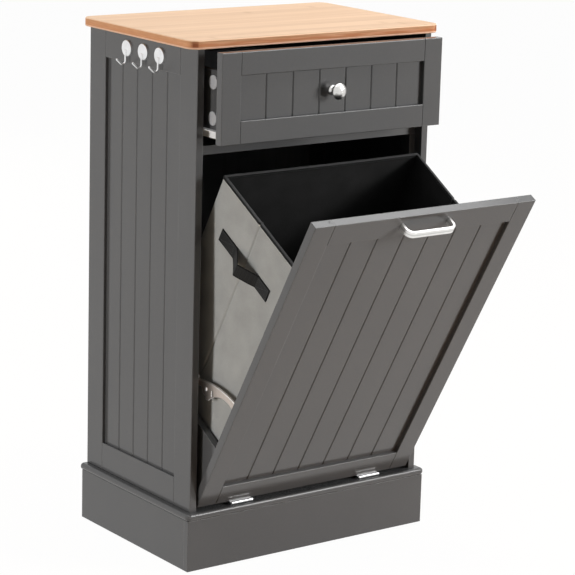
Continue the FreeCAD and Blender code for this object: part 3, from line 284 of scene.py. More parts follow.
def bamboo(name, low, high):
    """Glued bamboo strips along X: each strip has its own tone, long fibres and a few knuckle marks.
    The sawn edges show the board's layers with a painted highlight along the top arris, and the round
    corners have dark patches where they turn from front to side."""
    look = Look(name, specular_ior_level=0.2)
    rounded, _ = look.soft_edges(0.8 * MM)
    along, across, up = look.parts(look.where)
    strip = look.math("FLOOR", look.math("DIVIDE", across, STRIP_WIDTH))
    tone = look.chance(strip)
    shifted = look.math("ADD", along, look.times(tone, STRIP_SHIFT))
    fibre = look.grain((shifted, across, up), (6.0, 500.0, 500.0), detail=4.0)
    streak = look.grain((shifted, across, tone), (2.6, 90.0, 1.0), detail=3.0)
    face = look.mix(tone, STRIP_DARK, STRIP_PALE)
    face = look.mix(look.span(streak, 0.45, 0.75, 0, 0.5), face, STREAK_COLOUR)
    face = look.mix(look.span(fibre, 0.5, 0.78, 0, 0.3), face, FIBRE_COLOUR)

    # Knuckles: a short darker dash at the middle of about a third of the lengths
    length = look.math("DIVIDE", shifted, KNUCKLE_LENGTH)
    chance = look.chance(look.math("ADD", look.times(strip, STRIP_SEED), look.math("FLOOR", length)))
    off_middle = look.away(look.math("FRACT", length), 0.5)
    dash = look.span(off_middle, 0.034, 0.004)
    knuckle = look.times(dash, look.span(chance, 0.66, 0.74), look.span(fibre, 0.35, 0.65))
    face = look.mix(look.times(knuckle, 0.5), face, KNUCKLE_COLOUR)

    # Sawn edges: long streaks along the core, a plainer end grain and dark patches on the round corners
    share = look.span(up, low.z, high.z)
    # The top of this run of colours is a painted highlight along the arris
    layers = look.ramp(share, EDGE_LAYERS_AND_HIGHLIGHT)
    core = look.times(look.span(share, 0.18, 0.28), look.span(share, 0.93, 0.86))
    sawn = look.grain((along, across, up), (16.0, 40.0, 380.0), detail=4.0)
    layers = look.mix(look.times(look.span(sawn, 0.48, 0.68, 0, 0.6), core), layers, PALE_SAW_STREAK)
    layers = look.mix(look.times(look.span(sawn, 0.46, 0.30, 0, 0.45), core), layers, DARK_SAW_STREAK)
    facing_x, _, facing_z = look.facing()
    end_grain = look.times(look.span(facing_x, 0.80, 0.95), core, 0.6)
    layers = look.mix(end_grain, layers, END_GRAIN_COLOUR)
    # Darker patches where the round corners face halfway between front and side
    corner = look.times(look.span(facing_x, 0.28, 0.42), look.span(facing_x, 0.84, 0.70), core,
                        look.span(share, 0.60, 0.74, 0.9, 0.5))
    layers = look.mix(corner, layers, CORNER_COLOUR)

    look.feed("Base Color", look.mix(look.span(facing_z, 0.75, 0.35), face, layers))
    look.feed("Roughness", look.spread(fibre, 0.46, 0.58))
    dents = look.bump(knuckle, strength=-0.2, distance=0.3 * MM, normal=rounded)
    look.feed("Normal", look.bump(fibre, strength=0.10, distance=0.3 * MM, normal=dents))
    return look.material


# Metal edges turn towards this pale colour as a painted highlight
METAL_EDGE_HIGHLIGHT = (0.95, 0.94, 0.93)


def metal(name, colour, roughness, brushed=None, rim=0.6 * MM, shine=0.5, band=None):
    """Plated or brushed metal with clouded polish. brushed gives the stretch of the brushing marks, and
    rim and shine how wide and how bright the painted highlight along its edges is. band is the height
    up the door of a darker line, and half its width."""
    look = Look(name, on_door=bool(band), metallic=1.0)
    rounded, edge = look.soft_edges(rim)
    cloud = look.noise(70, detail=3)
    marks = look.noise(900, detail=2, stretch=brushed or (1, 1, 1))
    plate = look.mix(look.span(cloud, 0.35, 0.75), colour, tint(colour, 0.88))
    if band:
        # The band only darkens the colour in a line along the grip
        height, half_width = band
        off = look.away(look.parts(look.where)["Z"], height)
        plate = look.mix(look.span(off, half_width, 0.4 * half_width, 0, 0.9), plate, tint(colour, 0.68))
    look.feed("Base Color", look.mix(look.times(edge, shine), plate, METAL_EDGE_HIGHLIGHT))
    polish = look.spread(cloud, roughness, roughness + 0.08)
    look.feed("Roughness", look.math("ADD", polish, look.spread(marks, -0.03, 0.03)))
    depth = 0.14 if brushed else 0.03
    look.feed("Normal", look.bump(marks, strength=depth, distance=0.1 * MM, normal=rounded))
    return look.material


RUBBED_PLASTIC = (0.92, 0.92, 0.92)


def plastic(name, colour, roughness):
    """Moulded plastic or powder coat with a fine spark-eroded grain."""
    look = Look(name)
    rounded, edge = look.soft_edges(0.4 * MM)
    grain = look.noise(1500)
    base = look.mix(look.spread(look.noise(35, detail=3)), colour, tint(colour, 0.92))
    look.feed("Base Color", look.mix(look.times(edge, 0.3), base, RUBBED_PLASTIC))
    look.feed("Roughness", look.spread(grain, roughness - 0.05, roughness + 0.08))
    look.feed("Normal", look.bump(grain, strength=0.12, distance=0.15 * MM, normal=rounded))
    return look.material


def cloth(name, dark, pale, pitch, sheen):
    """Felted plain weave: threads over and under, fibres lying every way, and soft mottling."""
    look = Look(name, on_door=True, sheen_weight=sheen, sheen_roughness=0.5, specular_ior_level=0.15)
    level = look.math("ADD", look.wave("X", pitch), look.wave("Y", pitch))
    weave = look.times(look.math("ADD", level, look.wave("Z", pitch)), 0.33)
    fibre = look.noise(700, detail=3)
    mottle = look.noise(26, detail=4)
    base = look.mix(look.span(mottle, 0.3, 0.72), dark, pale)
    base = look.mix(look.span(weave, 0.2, 0.8, 0.0, 0.2), base, tint(pale, 1.25))
    base = look.mix(look.span(fibre, 0.5, 0.8, 0.0, 0.35), base, tint(dark, 0.75))
    look.feed("Base Color", base)
    look.feed("Roughness", look.spread(fibre, 0.80, 0.95))
    threads = look.math("ADD", weave, look.times(fibre, 0.6))
    fine = look.bump(threads, strength=0.25, distance=0.25 * MM)
    look.feed("Normal", look.bump(mottle, strength=0.12, distance=1.5 * MM, normal=fine))
    return look.material


WARP_PITCH = 1.6 * MM
WEFT_PITCH = 2.4 * MM


def webbing(name, colour):
    """Woven tape: close ribs both ways with paler crowns and a little fuzz."""
    look = Look(name, on_door=True, sheen_weight=0.02, sheen_roughness=0.4, specular_ior_level=0.12)
    warp = look.math("MAXIMUM", look.wave("X", WARP_PITCH), look.wave("Y", WARP_PITCH))
    ribs = look.times(look.wave("Z", WEFT_PITCH), warp)
    fuzz = look.noise(900, detail=3)
    base = look.mix(look.span(ribs, 0.2, 0.9), tint(colour, 0.6), tint(colour, 1.5))
    look.feed("Base Color", look.mix(look.span(fuzz, 0.55, 0.8, 0, 0.4), base, tint(colour, 2.2)))
    look.feed("Roughness", look.spread(fuzz, 0.65, 0.85))
    look.feed("Normal", look.bump(ribs, strength=0.5, distance=0.3 * MM))
    return look.material


def thread(name, colour):
    """Twisted sewing thread."""
    look = Look(name, sheen_weight=0.2)
    twist = look.noise(2600)
    look.feed("Base Color", look.mix(look.spread(twist), colour, tint(colour, 1.6)))
    look.feed("Roughness", look.spread(twist, 0.55, 0.75))
    look.feed("Normal", look.bump(twist, strength=0.3, distance=0.1 * MM))
    return look.material


BRUSHED_ALONG_X = (0.05, 1, 1)
handle_low, handle_high = door_box("door_handle")
HANDLE_BAND = ((handle_low.z + handle_high.z) / 2, 1.8 * MM)
BIN_WEAVE = 1.2 * MM
HEM_WEAVE = 0.9 * MM
looks = {
    "grey_paint": paint("grey paint", (0.074, 0.074, 0.075), (0.081, 0.081, 0.082), 0.17),
    "board_grey": foil_board("grey foil board", (0.055, 0.055, 0.056)),
    "bamboo": bamboo("bamboo", *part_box("top_board")),
    "satin_steel": metal("satin steel", (0.86, 0.86, 0.86), 0.30, BRUSHED_ALONG_X),
    "nickel": metal("nickel plate", (0.72, 0.71, 0.69), 0.22),
    "handle_nickel": metal("satin nickel handle", (0.86, 0.85, 0.83), 0.38, BRUSHED_ALONG_X,
                           band=HANDLE_BAND),
    # The stay's wide, fully pale rims are a painted highlight
    "warm_nickel": metal("satin nickel stay", (0.60, 0.52, 0.46), 0.36, rim=3.0 * MM, shine=1.0),
    "white_enamel": plastic("white enamel", (0.88, 0.88, 0.88), 0.32),
    "white_nylon": plastic("white nylon", (0.78, 0.78, 0.75), 0.45),
    "pale_plastic": plastic("pale plastic", (0.42, 0.42, 0.43), 0.5),
    "bin_cloth": cloth("bin cloth", (0.320, 0.322, 0.312), (0.385, 0.387, 0.376), BIN_WEAVE, 0.05),
    # The hem's pale colour is a painted highlight along the cloth's folded edge
    "hem_painted_highlight": cloth("bin hem painted highlight", (0.58, 0.58, 0.56), (0.68, 0.68, 0.66), HEM_WEAVE, 0.05),
    "bin_lining": cloth("bin lining", (0.011, 0.011, 0.011), (0.018, 0.018, 0.018), BIN_WEAVE, 0.02),
    "bin_board": cloth("bin board cover", (0.009, 0.009, 0.009), (0.014, 0.014, 0.014), BIN_WEAVE, 0.02),
    "black_binding": webbing("black binding", (0.012, 0.012, 0.012)),
    # The tape's paler top is a painted highlight along its rounded crown
    "tape_top_painted_highlight": webbing("binding top painted highlight", (0.070, 0.070, 0.071)),
    "black_webbing": webbing("black webbing", (0.026, 0.026, 0.026)),
    "webbing_edge": webbing("webbing edge", (0.008, 0.008, 0.008)),
    "black_thread": thread("black thread", (0.012, 0.012, 0.012)),
}
for item in frame["record"]["subparts"]:
    mesh = nodes[item["node"]].data
    mesh.materials.clear()
    mesh.materials.append(looks["handle_nickel" if item["node"] == "door_handle" else item["material_slot"]])

# Pieces that Blender makes


def piece(name, mesh, body, slot, *finishes):
    """A finished mesh as a piece that rides on a body, with a material for each group of faces."""
    for finish in finishes:
        mesh.materials.append(looks[finish])
    thing = bpy.data.objects.new(name, mesh)
    scene.collection.objects.link(thing)
    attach(thing, body)
    return thing


def mesh_of(name, form, crease=180):
    """A mesh of a form, smooth apart from edges that turn by more than the crease angle in degrees."""
    mesh = bpy.data.meshes.new(name)
    bmesh.ops.recalc_face_normals(form, faces=form.faces)
    form.to_mesh(mesh)
    form.free()
    for face in mesh.polygons:
        face.use_smooth = True
    mesh.set_sharp_from_angle(angle=math.radians(crease))
    return mesh


def skin(form, rings, material=0):
    """Quads between rings of as many points each."""
    count = len(rings[0])
    for lower, upper in zip(rings, rings[1:]):
        for step in range(count):
            after = (step + 1) % count
            face = form.faces.new((lower[step], lower[after], upper[after], upper[step]))
            face.material_index = material


def cap(form, ring, material=0):
    """One face over a ring."""
    form.faces.new(ring).material_index = material


def ring_about(form, middle, axis, radii):
    """A ring of points about an axis through a middle, with a radius for each step round it."""
    side = axis.orthogonal().normalized()
    other = axis.cross(side)
    ring = []
    for step, radius in enumerate(radii):
        turn = math.tau * step / len(radii)
        ring.append(form.verts.new(middle + radius * (side * math.cos(turn) + other * math.sin(turn))))
    return ring


def closed_tube(form, rings):
    """Quads between rings, and a face over each end."""
    skin(form, rings)
    cap(form, rings[0])
    cap(form, rings[-1])


# Sewing

STITCH_SIDES = 6
# A stitch from end to end: share of its length, and of its radius
STITCH_PROFILE = ((0.0, 0.3), (0.15, 0.85), (0.5, 1.0), (0.85, 0.85), (1.0, 0.3))


def stitch(form, start, end, radius):
    """One stitch of thread: a tube with tapered tips."""
    axis = (end - start).normalized()
    closed_tube(form, [ring_about(form, start.lerp(end, along), axis, [radius * wide] * STITCH_SIDES)
                       for along, wide in STITCH_PROFILE])


def sew(form, path, length, gap, radius):
    """Stitches of a length along a path, with about a gap between them."""
    runs = [(first, second, (second - first).length) for first, second in zip(path, path[1:])]
    total = sum(run[2] for run in runs)

    def at(distance):
        for first, second, span in runs:
            if distance <= span:
                return first.lerp(second, distance / span if span else 0)
            distance -= span
        return path[-1].copy()

    count = int(total / (length + gap))
    step = total / count
    for index in range(count):
        stitch(form, at(index * step), at(index * step + length), radius)


# The soft bin, in the door frame with y from the bin's middle

shell_low, shell_high = door_box("bin_shell")
rim_low, rim_high = door_box("bin_rim_binding")
bin_middle = (shell_low.y + shell_high.y) / 2
BIN_HALF_X = shell_high.x
BIN_HALF_Y = (shell_high.y - shell_low.y) / 2
BIN_WALL = 3.0 * MM
BIN_CORNER = 3.0 * MM
BIN_INNER_CORNER = 0.8 * MM
BIN_FOOT_EDGE = 1.2 * MM
HEM_HEIGHT = 2.0 * MM
HEM_BULGE = 0.3 * MM
HEM_CREST = 0.4
TUCKED_IN = 0.05 * MM
TAPE = rim_high.x - shell_high.x
# How far under the tape's top the shell ends, in thicknesses of tape
SHELL_UNDER_TAPE = 1.5

# How finely the bin is cut up: steps from the middle of a wall to its corner, up a wall, and in a corner
STEPS_X = 12
STEPS_Y = 10
STEPS_UP = 44
CORNER_STEPS = 4
FOLD_STEPS = (-6, -3.4, -2, -1, 0, 1, 2, 3.4, 6)

# How the mouth has gone out of square: each side's rim pushed to the left, at the front and at the back,
# the back rim drawn in at its middle and out at its right end, and how fast all that dies away downwards
LEFT_RIM_PUSH = (0.2 * MM, 2.6 * MM)
RIGHT_RIM_PUSH = (9.0 * MM, 4.5 * MM)
BACK_RIM_SAG = 1.0 * MM
BACK_RIM_TURN = 3.5 * MM
RIM_POWER = 4

# How the walls draw in: the mean and the part that wanders, for the sides and for the front and back
SIDE_SAG = (2.2 * MM, 0.9 * MM)
FACE_SAG = (2.0 * MM, 1.1 * MM)
SAG_POWER = 0.7
# The wandering is a sum of noises: cells to the metre, and weight
WANDER = ((9.0, 1.0), (23.0, 0.5))
# The give of a wall fades out over this share of the bin's half width
WALL_FADE = 1 / 8
# A side's fold line, which sets in over a share of the height
FOLD_DEPTH = 2.0 * MM
FOLD_WIDTH = 1.7 * MM
FOLD_ONSET = 1 / 3

# Groups of faces on the bin's shell, on its tape and on its handles
CLOTH_FACES = 0
LINING_FACES = 1
HEM_FACES = 2
TAPE_SIDE_FACES = 0
TAPE_TOP_FACES = 1
WEB_FACES = 0
WEB_EDGE_FACES = 1

# Edges that turn by more than these angles stay sharp, in degrees
CLOTH_CREASE = 40
STRAP_CREASE = 30


def clamp(value):
    return min(max(value, 0.0), 1.0)


def bin_outline(inset, height):
    """Points round the bin at a height, inset from its outside: straight walls with small round
    corners, and points close together at the fold lines down the middle of the two sides."""
    radius = max(BIN_CORNER - inset, BIN_INNER_CORNER)
    flat_x = BIN_HALF_X - inset - radius
    flat_y = BIN_HALF_Y - inset - radius
    folds = [step * MM for step in FOLD_STEPS]
    run_x = [flat_x * step / STEPS_X for step in range(-STEPS_X, STEPS_X + 1)]
    run_y = sorted([flat_y * step / STEPS_Y for step in range(-STEPS_Y, STEPS_Y + 1) if step] + folds)
    walls = [[(along, -flat_y - radius) for along in run_x],
             [(flat_x + radius, along) for along in run_y],
             [(-along, flat_y + radius) for along in run_x],
             [(-flat_x - radius, -along) for along in run_y]]
    points = []
    for quarter, wall in enumerate(walls):
        middle_x = flat_x if quarter in (0, 1) else -flat_x
        middle_y = flat_y if quarter in (1, 2) else -flat_y
        points += wall
        for step in range(1, CORNER_STEPS):
            turn = math.radians(90 * (quarter - 1 + step / CORNER_STEPS))
            points.append((middle_x + radius * math.cos(turn), middle_y + radius * math.sin(turn)))
    return [Vector((x, y, height)) for x, y in points]


def give(point):
    """How the cloth gives at a point of the bin: walls draw in between the stiff rim and the stiff
    bottom and wander a little, the mouth is out of square, and each side has a fold line."""
    level = clamp((point.z - shell_low.z) / (rim_high.z - shell_low.z))
    side = point.x / BIN_HALF_X
    depth = point.y / BIN_HALF_Y
    on_side = clamp(1 - (1 - abs(side)) / WALL_FADE)
    on_face = clamp(1 - (1 - abs(depth)) / WALL_FADE)
    wander = sum(weight * noise.noise(point * cells) for cells, weight in WANDER)
    slack = math.sin(math.pi * level) ** SAG_POWER
    side_sag = (SIDE_SAG[0] + SIDE_SAG[1] * wander) * slack * max(0.0, 1 - depth ** 2)
    face_sag = (FACE_SAG[0] + FACE_SAG[1] * wander) * slack * max(0.0, 1 - side ** 2)
    fold = FOLD_DEPTH * math.exp(-(point.y / FOLD_WIDTH) ** 2) * min(1.0, level / FOLD_ONSET)
    in_x = on_side * (side_sag + fold)
    in_y = on_face * face_sag
    near, far = RIGHT_RIM_PUSH if side > 0 else LEFT_RIM_PUSH
    push = abs(side) * level ** RIM_POWER * (near + (far - near) * clamp((depth + 1) / 2))
    reach = BACK_RIM_TURN * (side + 1) / 2 - BACK_RIM_SAG * max(0.0, 1 - side ** 2)
    back = reach * level ** RIM_POWER * max(0.0, depth)
    return Vector((-math.copysign(in_x, point.x) - push, back - math.copysign(in_y, point.y), 0))


def on_bin(point):
    """A point of the bin, given way and put in the row frame."""
    return DOOR @ (point + give(point) + Vector((0, bin_middle, 0)))


def bin_ring(form, inset, height):
    return [form.verts.new(on_bin(point)) for point in bin_outline(inset, height)]


def make_bin_shell():
    """Soft bin: grey cloth outside with a hem made pale as a painted highlight along its folded edge, black
    lining inside, one closed skin whose top edge is inside the binding tape."""
    form = bmesh.new()
    low = shell_low.z
    hem_top = rim_low.z
    hem = hem_top - HEM_HEIGHT
    top = rim_high.z - SHELL_UNDER_TAPE * TAPE
    levels = [low + (hem - low) * step / STEPS_UP for step in range(1, STEPS_UP + 1)]
    outside = [bin_ring(form, BIN_FOOT_EDGE, low), bin_ring(form, 0.0, low + BIN_FOOT_EDGE)]
    outside += [bin_ring(form, 0.0, level) for level in levels]
    edge = outside[-1:]
    edge.append(bin_ring(form, -HEM_BULGE, hem + HEM_CREST * HEM_HEIGHT))
    edge += [bin_ring(form, TUCKED_IN, level) for level in (hem_top, top)]
    inside = [bin_ring(form, BIN_WALL, level) for level in [low + BIN_WALL] + levels + [hem_top, top]]
    skin(form, outside, CLOTH_FACES)
    skin(form, edge, HEM_FACES)
    skin(form, inside, LINING_FACES)
    skin(form, [edge[-1], inside[-1]], LINING_FACES)
    cap(form, outside[0], CLOTH_FACES)
    cap(form, inside[0], LINING_FACES)
    shell = piece("bin_cloth_shell", mesh_of("bin_cloth_shell", form, CLOTH_CREASE), "door", "bin_cloth",
                  "bin_cloth", "bin_lining", "hem_painted_highlight")
    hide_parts("bin_shell")
    return shell


# The tape over the bin's mouth from its outer foot to its inner foot: share of its whole thickness, and of
# its height. Its rounded top lies between the two rings named below.
TAPE_PROFILE = [(0.0, 0.0), (0.0, 0.3), (0.0, 0.6), (0.02, 0.84), (0.1, 0.95), (0.25, 0.99), (0.5, 1.0),
                (0.75, 0.99), (0.9, 0.95), (0.98, 0.84), (1.0, 0.6), (1.0, 0.3), (1.0, 0.0)]
TAPE_TOP_FIRST = 3
TAPE_TOP_LAST = 9
# A ring inside the fold, and the seam: shares of the tape's height
TAPE_INNER_RING = 0.6
TAPE_SEAM = 0.3
# Length, gap and radius of the stitches, and how far they stand off the tape
TAPE_STITCH = (3.2 * MM, 1.6 * MM, 0.32 * MM)
STITCH_OFF = 0.1 * MM


def make_binding():
    """Tape folded over the bin's mouth, with a row of stitches on each of its two sides."""
    form = bmesh.new()
    thick = BIN_WALL + 2 * TAPE
    tall = rim_high.z - rim_low.z
    rings = [bin_ring(form, share * thick - TAPE, rim_low.z + rise * tall) for share, rise in TAPE_PROFILE]
    under_top = 1 - TAPE / tall
    inner = [(BIN_WALL, rise) for rise in (0.0, TAPE_INNER_RING, under_top)]
    inner += [(0.0, rise) for rise in (under_top, TAPE_INNER_RING, 0.0)]
    under = [bin_ring(form, inset, rim_low.z + rise * tall) for inset, rise in inner]
    skin(form, rings[:TAPE_TOP_FIRST + 1], TAPE_SIDE_FACES)
    skin(form, rings[TAPE_TOP_FIRST:TAPE_TOP_LAST + 1], TAPE_TOP_FACES)
    skin(form, rings[TAPE_TOP_LAST:] + under + rings[:1], TAPE_SIDE_FACES)
    # The tape's rounded top takes the paler colour, a painted highlight
    tape = piece("bin_binding_tape", mesh_of("bin_binding_tape", form, CLOTH_CREASE), "door",
                 "black_binding", "black_binding", "tape_top_painted_highlight")
    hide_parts("bin_rim_binding")

    stitches = bmesh.new()
    for inset in (-TAPE - STITCH_OFF, BIN_WALL + TAPE + STITCH_OFF):
        loop = bin_outline(inset, rim_low.z + TAPE_SEAM * tall)
        sew(stitches, [on_bin(point) for point in loop + loop[:1]], *TAPE_STITCH)
    seam = piece("bin_binding_stitches", mesh_of("bin_binding_stitches", stitches), "door", "black_binding",
                 "black_thread")


# Webbing handle: places along it from its front end, and how far its underside stands off the wall, in mm
STRAP_LINE = [(0, 0), (2, 0), (14, 0), (26, 0), (36.5, 0), (46, 6.7), (55, 13.0), (63, 18.5), (68, 21.6),
              (69.5, 22), (71, 21.2), (78, 16.6), (88, 10.6), (98, 5.0), (106.5, 0.6), (110, 0),
              (121, 0), (132, 0), (143, 0), (153, 0), (155, 0)]
# From where to where along it each end is sewn down, in mm
STRAP_SEWN = ((2.5, 34), (114, 152.5))
STRAP_STITCH = (2.4 * MM, 1.2 * MM, 0.3 * MM)
# Its seams run at this share of its width from its middle
STRAP_SEAM = 0.36
STRAP_THICKNESS = 1.6 * MM
# Points across it as shares of half its width, how thin its rims are, and where its darker edge band begins
STRAP_SHARES = (-1, -0.94, -0.85, -0.45, 0, 0.45, 0.85, 0.94, 1)
STRAP_RIM = 0.7
DARK_EDGE_SHARE = 0.85
# It follows the give of the wall less and less up to this distance
STRAP_FREE = 8 * MM


def make_strap(name, sign):
    """Flat webbing sewn to the bin at both ends, with its slack folded out between them."""
    low, high = door_box("bin_webbing_handles")
    width = high.z - low.z
    middle = (low.z + high.z) / 2
    half = STRAP_THICKNESS / 2
    line = [(along * MM, off * MM) for along, off in STRAP_LINE]
    section = [(side * share * width / 2, side * half * (STRAP_RIM if abs(share) == 1 else 1.0))
               for side in (1, -1) for share in STRAP_SHARES]

    def on_wall(along, across, off):
        """A point at a distance off the side wall, which may have given way there."""
        spot = Vector((sign * BIN_HALF_X, low.y + along - bin_middle, middle + across))
        wall = give(spot).x * max(0.0, 1 - off / STRAP_FREE)
        return DOOR @ Vector((sign * (BIN_HALF_X + off) + wall, low.y + along, middle + across))

    form = bmesh.new()
    rings = []
    for index, (along, off) in enumerate(line):
        before = line[max(index - 1, 0)]
        after = line[min(index + 1, len(line) - 1)]
        run = Vector((after[0] - before[0], after[1] - before[1])).normalized()
        rings.append([form.verts.new(on_wall(along - run.y * through, across, off + half + run.x * through))
                      for across, through in section])
    skin(form, rings[:2], WEB_EDGE_FACES)
    skin(form, rings[1:-1], WEB_FACES)
    skin(form, rings[-2:], WEB_EDGE_FACES)
    cap(form, rings[0], WEB_EDGE_FACES)
    cap(form, rings[-1], WEB_EDGE_FACES)
    for face in form.faces:
        across = (DOOR.inverted() @ face.calc_center_median()).z - middle
        if abs(across) > DARK_EDGE_SHARE * width / 2:
            face.material_index = WEB_EDGE_FACES
    strap = piece(f"{name}_webbing_handle", mesh_of(f"{name}_webbing_handle", form, STRAP_CREASE), "door",
                  "black_webbing", "black_webbing", "webbing_edge")
    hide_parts("bin_webbing_handles")

    stitches = bmesh.new()
    reach = STRAP_SEAM * width
    for start, end in STRAP_SEWN:
        corners = [(start * MM, -reach), (end * MM, -reach), (end * MM, reach), (start * MM, reach)]
        for path in (corners + corners[:1], corners[0::2], corners[1::2]):
            sew(stitches, [on_wall(along, across, STRAP_THICKNESS) for along, across in path], *STRAP_STITCH)
    seam = piece(f"{name}_webbing_stitches", mesh_of(f"{name}_webbing_stitches", stitches), "door",
                 "black_webbing", "black_thread")


bin_cloth = make_bin_shell()
make_binding()
for side_name, side_sign in SIDES:
    make_strap(side_name, side_sign)

# Screw heads

HEAD_CREASE = 35
HEAD_STEPS = 24
ROUND_HEAD = [1.0] * HEAD_STEPS
# The cross recess has an arm in each quarter, three points wide, and a waist between the arms
CROSS_RECESS = [0.46 if (step + 1) % 6 < 3 else 0.17 for step in range(HEAD_STEPS)]
# From the foot over the dome into the recess: outline, its size and its height as shares of the head's radius
HEAD_PROFILE = ((ROUND_HEAD, 1.0, 0.0), (ROUND_HEAD, 1.0, 0.18), (ROUND_HEAD, 0.86, 0.38),
                (ROUND_HEAD, 0.64, 0.48), (CROSS_RECESS, 1.0, 0.5), (CROSS_RECESS, 0.85, 0.22))
BACK_SCREW_RADIUS = 3.0 * MM
BACK_SCREW_INSET = 9 * MM
BACK_SCREW_ROWS = 7
STAY_SCREW_RADIUS = 2.6 * MM
# The stay's foot, in the door frame: its middle to a side, its face and its screws' heights up the door
STAY_FOOT_MIDDLE = 210.9 * MM
STAY_FOOT_FACE = 22.4 * MM
STAY_FOOT_SCREWS = (202.5 * MM, 224.5 * MM)
# The stay bracket's plate: its inner face to a side, and its screws from its upper and lower end
STAY_PLATE_FACE = 228.0 * MM
STAY_PLATE_INSET = 5.0 * MM


def screw_head(form, place, out, radius):
    """A pan head with a cross recess, standing on a face at a place."""
    closed_tube(form, [ring_about(form, place + out * (radius * rise), out,
                                  [radius * size * reach for reach in outline])
                       for outline, size, rise in HEAD_PROFILE])


def make_screws(name, body, places, out, radius):
    """Screw heads at places on faces that look the same way, as one piece."""
    form = bmesh.new()
    for place in places:
        screw_head(form, place, out, radius)
    piece(name, mesh_of(name, form, HEAD_CREASE), body, "satin_steel", "satin_steel")


def make_back_screws():
    """Screws round the edge of the back panel."""
    low, high = (Vector(corner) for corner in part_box("back_panel"))
    foot = low.z + BACK_SCREW_INSET
    rise = high.z - BACK_SCREW_INSET - foot
    heights = [foot + rise * step / (BACK_SCREW_ROWS - 1) for step in range(BACK_SCREW_ROWS)]
    places = [(x, z) for x in (low.x + BACK_SCREW_INSET, high.x - BACK_SCREW_INSET) for z in heights]
    places += [(x, z) for x in (low.x / 3, high.x / 3) for z in (heights[0], heights[-1])]
    make_screws("back_panel_screws", "cabinet", [Vector((x, high.y, z)) for x, z in places],
                Vector((0, 1, 0)), BACK_SCREW_RADIUS)


def make_stay_screws(name, sign):
    """Two screws in the stay's bracket and two in its foot."""
    low, high = (Vector(corner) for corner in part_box("stay_brackets"))
    places = [Vector((sign * STAY_PLATE_FACE, (low.y + high.y) / 2, height))
              for height in (low.z + STAY_PLATE_INSET, high.z - STAY_PLATE_INSET)]
    make_screws(f"{name}_stay_bracket_screws", "cabinet", places, Vector((-sign, 0, 0)), STAY_SCREW_RADIUS)
    places = [DOOR @ Vector((sign * STAY_FOOT_MIDDLE, STAY_FOOT_FACE, height)) for height in STAY_FOOT_SCREWS]
    into = DOOR.to_3x3() @ Vector((0, 1, 0))
    make_screws(f"{name}_stay_foot_screws", "door", places, into, STAY_SCREW_RADIUS)


make_back_screws()
for side_name, side_sign in SIDES:
    make_stay_screws(side_name, side_sign)

# Stage, light and camera

# The floor: half its width, its drop below the cabinet's foot, and the colour it lights the cabinet with
FLOOR_HALF = 40
FLOOR_DROP = 0.2 * MM
FLOOR_COLOUR = (0.48, 0.39, 0.29)
# The camera and the gloss see this share of a glow in place of the lit floor, so that both together look
# white, and the rest keeps the shadow
FLOOR_GLOW_SHARE = 0.95
FLOOR_GLOW = 1.03
# Strength of the white surroundings as a light, and as they look
WORLD_AS_LIGHT = 0.03
WORLD_AS_SEEN = 1.0


def seen_directly(tree):
    """1 for a ray from the camera, a mirror or through glass, and 0 for light that bounces about."""
    rays = tree.nodes.new("ShaderNodeLightPath").outputs
    either = rays["Is Camera Ray"]
    for name in ("Is Glossy Ray", "Is Transmission Ray"):
        node = tree.nodes.new("ShaderNodeMath")
        node.operation = "MAXIMUM"
        tree.links.new(either, node.inputs[0])
        tree.links.new(rays[name], node.inputs[1])
        either = node.outputs["Value"]
    return either


def make_floor():
    """Floor that lights the cabinet from below, looks near white and keeps the cabinet's shadow."""
    form = bmesh.new()
    bmesh.ops.create_grid(form, x_segments=1, y_segments=1, size=FLOOR_HALF)
    mesh = mesh_of("floor", form)
    floor = bpy.data.objects.new("floor", mesh)
    floor.location.z = -FLOOR_DROP
    scene.collection.objects.link(floor)
    material = bpy.data.materials.new("floor")
    material.use_nodes = True
    tree = material.node_tree
    tree.nodes.clear()
    output = tree.nodes.new("ShaderNodeOutputMaterial")
    lit = tree.nodes.new("ShaderNodeBsdfDiffuse")
    lit.inputs["Color"].default_value = (*FLOOR_COLOUR, 1)
    glow = tree.nodes.new("ShaderNodeEmission")
    glow.inputs["Strength"].default_value = FLOOR_GLOW
    share = tree.nodes.new("ShaderNodeMath")
    share.operation = "MULTIPLY"
    share.inputs[1].default_value = FLOOR_GLOW_SHARE
    mix = tree.nodes.new("ShaderNodeMixShader")
    tree.links.new(seen_directly(tree), share.inputs[0])
    tree.links.new(share.outputs["Value"], mix.inputs["Fac"])
    tree.links.new(lit.outputs["BSDF"], mix.inputs[1])
    tree.links.new(glow.outputs["Emission"], mix.inputs[2])
    tree.links.new(mix.outputs["Shader"], output.inputs["Surface"])
    mesh.materials.append(material)


def make_world():
    """Even white surroundings, dimmer as a light than they look."""
    world = bpy.data.worlds.new("studio")
    scene.world = world
    world.use_nodes = True
    tree = world.node_tree
    tree.nodes.clear()
    output = tree.nodes.new("ShaderNodeOutputWorld")
    mix = tree.nodes.new("ShaderNodeMixShader")
    for socket, strength in ((1, WORLD_AS_LIGHT), (2, WORLD_AS_SEEN)):
        background = tree.nodes.new("ShaderNodeBackground")
        background.inputs["Color"].default_value = (1, 1, 1, 1)
        background.inputs["Strength"].default_value = strength
        tree.links.new(background.outputs["Background"], mix.inputs[socket])
    tree.links.new(seen_directly(tree), mix.inputs["Fac"])
    tree.links.new(mix.outputs["Shader"], output.inputs["Surface"])


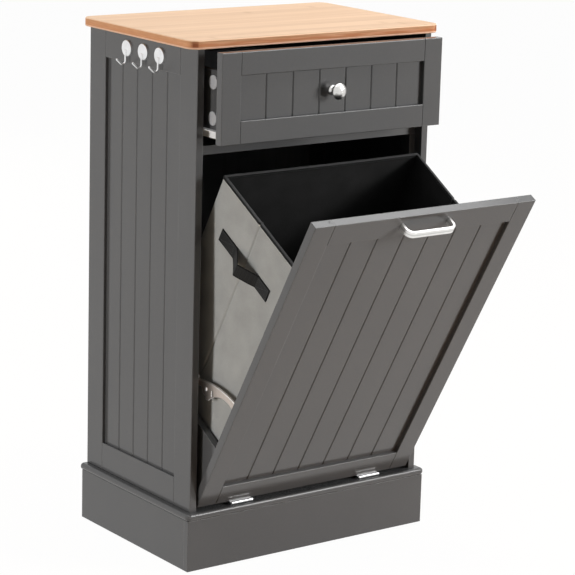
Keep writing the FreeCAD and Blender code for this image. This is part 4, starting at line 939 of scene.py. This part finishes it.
def make_softbox(name, place, aim, size, watts, colour=(1, 1, 1), mirrored=True, lights=True):
    """A studio light at a place, turned to an aim. Gloss shows it where it is mirrored, and a card that
    only shines in the gloss lights nothing."""
    light = bpy.data.lights.new(name, "AREA")
    light.shape = "RECTANGLE"
    light.size, light.size_y = size
    light.energy = watts
    light.color = colour
    lamp = bpy.data.objects.new(name, light)
    lamp.location = place
    lamp.rotation_euler = (Vector(aim) - Vector(place)).to_track_quat("-Z", "Y").to_euler()
    lamp.visible_camera = False
    lamp.visible_glossy = mirrored
    lamp.visible_diffuse = lights
    scene.collection.objects.link(lamp)


def make_camera():
    """The photograph's camera, with its slight roll."""
    azimuth = math.radians(CAMERA_AZIMUTH)
    elevation = math.radians(CAMERA_ELEVATION)
    roll = math.radians(CAMERA_ROLL)
    back = Vector((math.sin(azimuth) * math.cos(elevation), -math.cos(azimuth) * math.cos(elevation),
                   math.sin(elevation)))
    level = Vector((0, 0, 1)).cross(back).normalized()
    rise = back.cross(level)
    right = math.cos(roll) * level + math.sin(roll) * rise
    up = math.cos(roll) * rise - math.sin(roll) * level
    place = Vector((0, 0, AIM_HEIGHT)) - right * AIM_RIGHT - up * AIM_UP + back * CAMERA_DISTANCE
    camera = bpy.data.objects.new("camera", bpy.data.cameras.new("camera"))
    camera.data.lens = CAMERA_LENS
    camera.data.sensor_width = CAMERA_SENSOR
    camera.data.clip_end = CAMERA_REACH
    camera.matrix_world = Matrix.Translation(place) @ Matrix((right, up, back)).transposed().to_4x4()
    scene.collection.objects.link(camera)
    scene.camera = camera


make_floor()
make_world()
make_softbox("left side light", place=(-3.5, 0.26, 0.6), aim=(0, 0.1, 0.5), size=(0.5, 1.6), watts=77,
             mirrored=False)
make_softbox("right front light", place=(3.5, -3.4, 1.5), aim=(0, -0.2, 0.5), size=(1.4, 1.4), watts=256,
             mirrored=False)
make_softbox("overhead light", place=(0.6, 0.0, 3.2), aim=(0.5, 0, 0.9), size=(2.2, 3.5), watts=76)
make_softbox("rear light", place=(0.3, 3.8, 1.5), aim=(0, 0.3, 0.5), size=(1.5, 1.5), watts=45,
             mirrored=False)
make_softbox("low front fill", place=(0.1, -0.8, 0.03), aim=(0, -0.2, 0.3), size=(1.0, 0.3), watts=1.2,
             colour=(1.0, 0.42, 0.18), mirrored=False)
make_softbox("gloss card", place=(2.3, -2.35, 2.45), aim=(0, -0.15, 0.1), size=(1.6, 1.6), watts=80,
             lights=False)
make_camera()
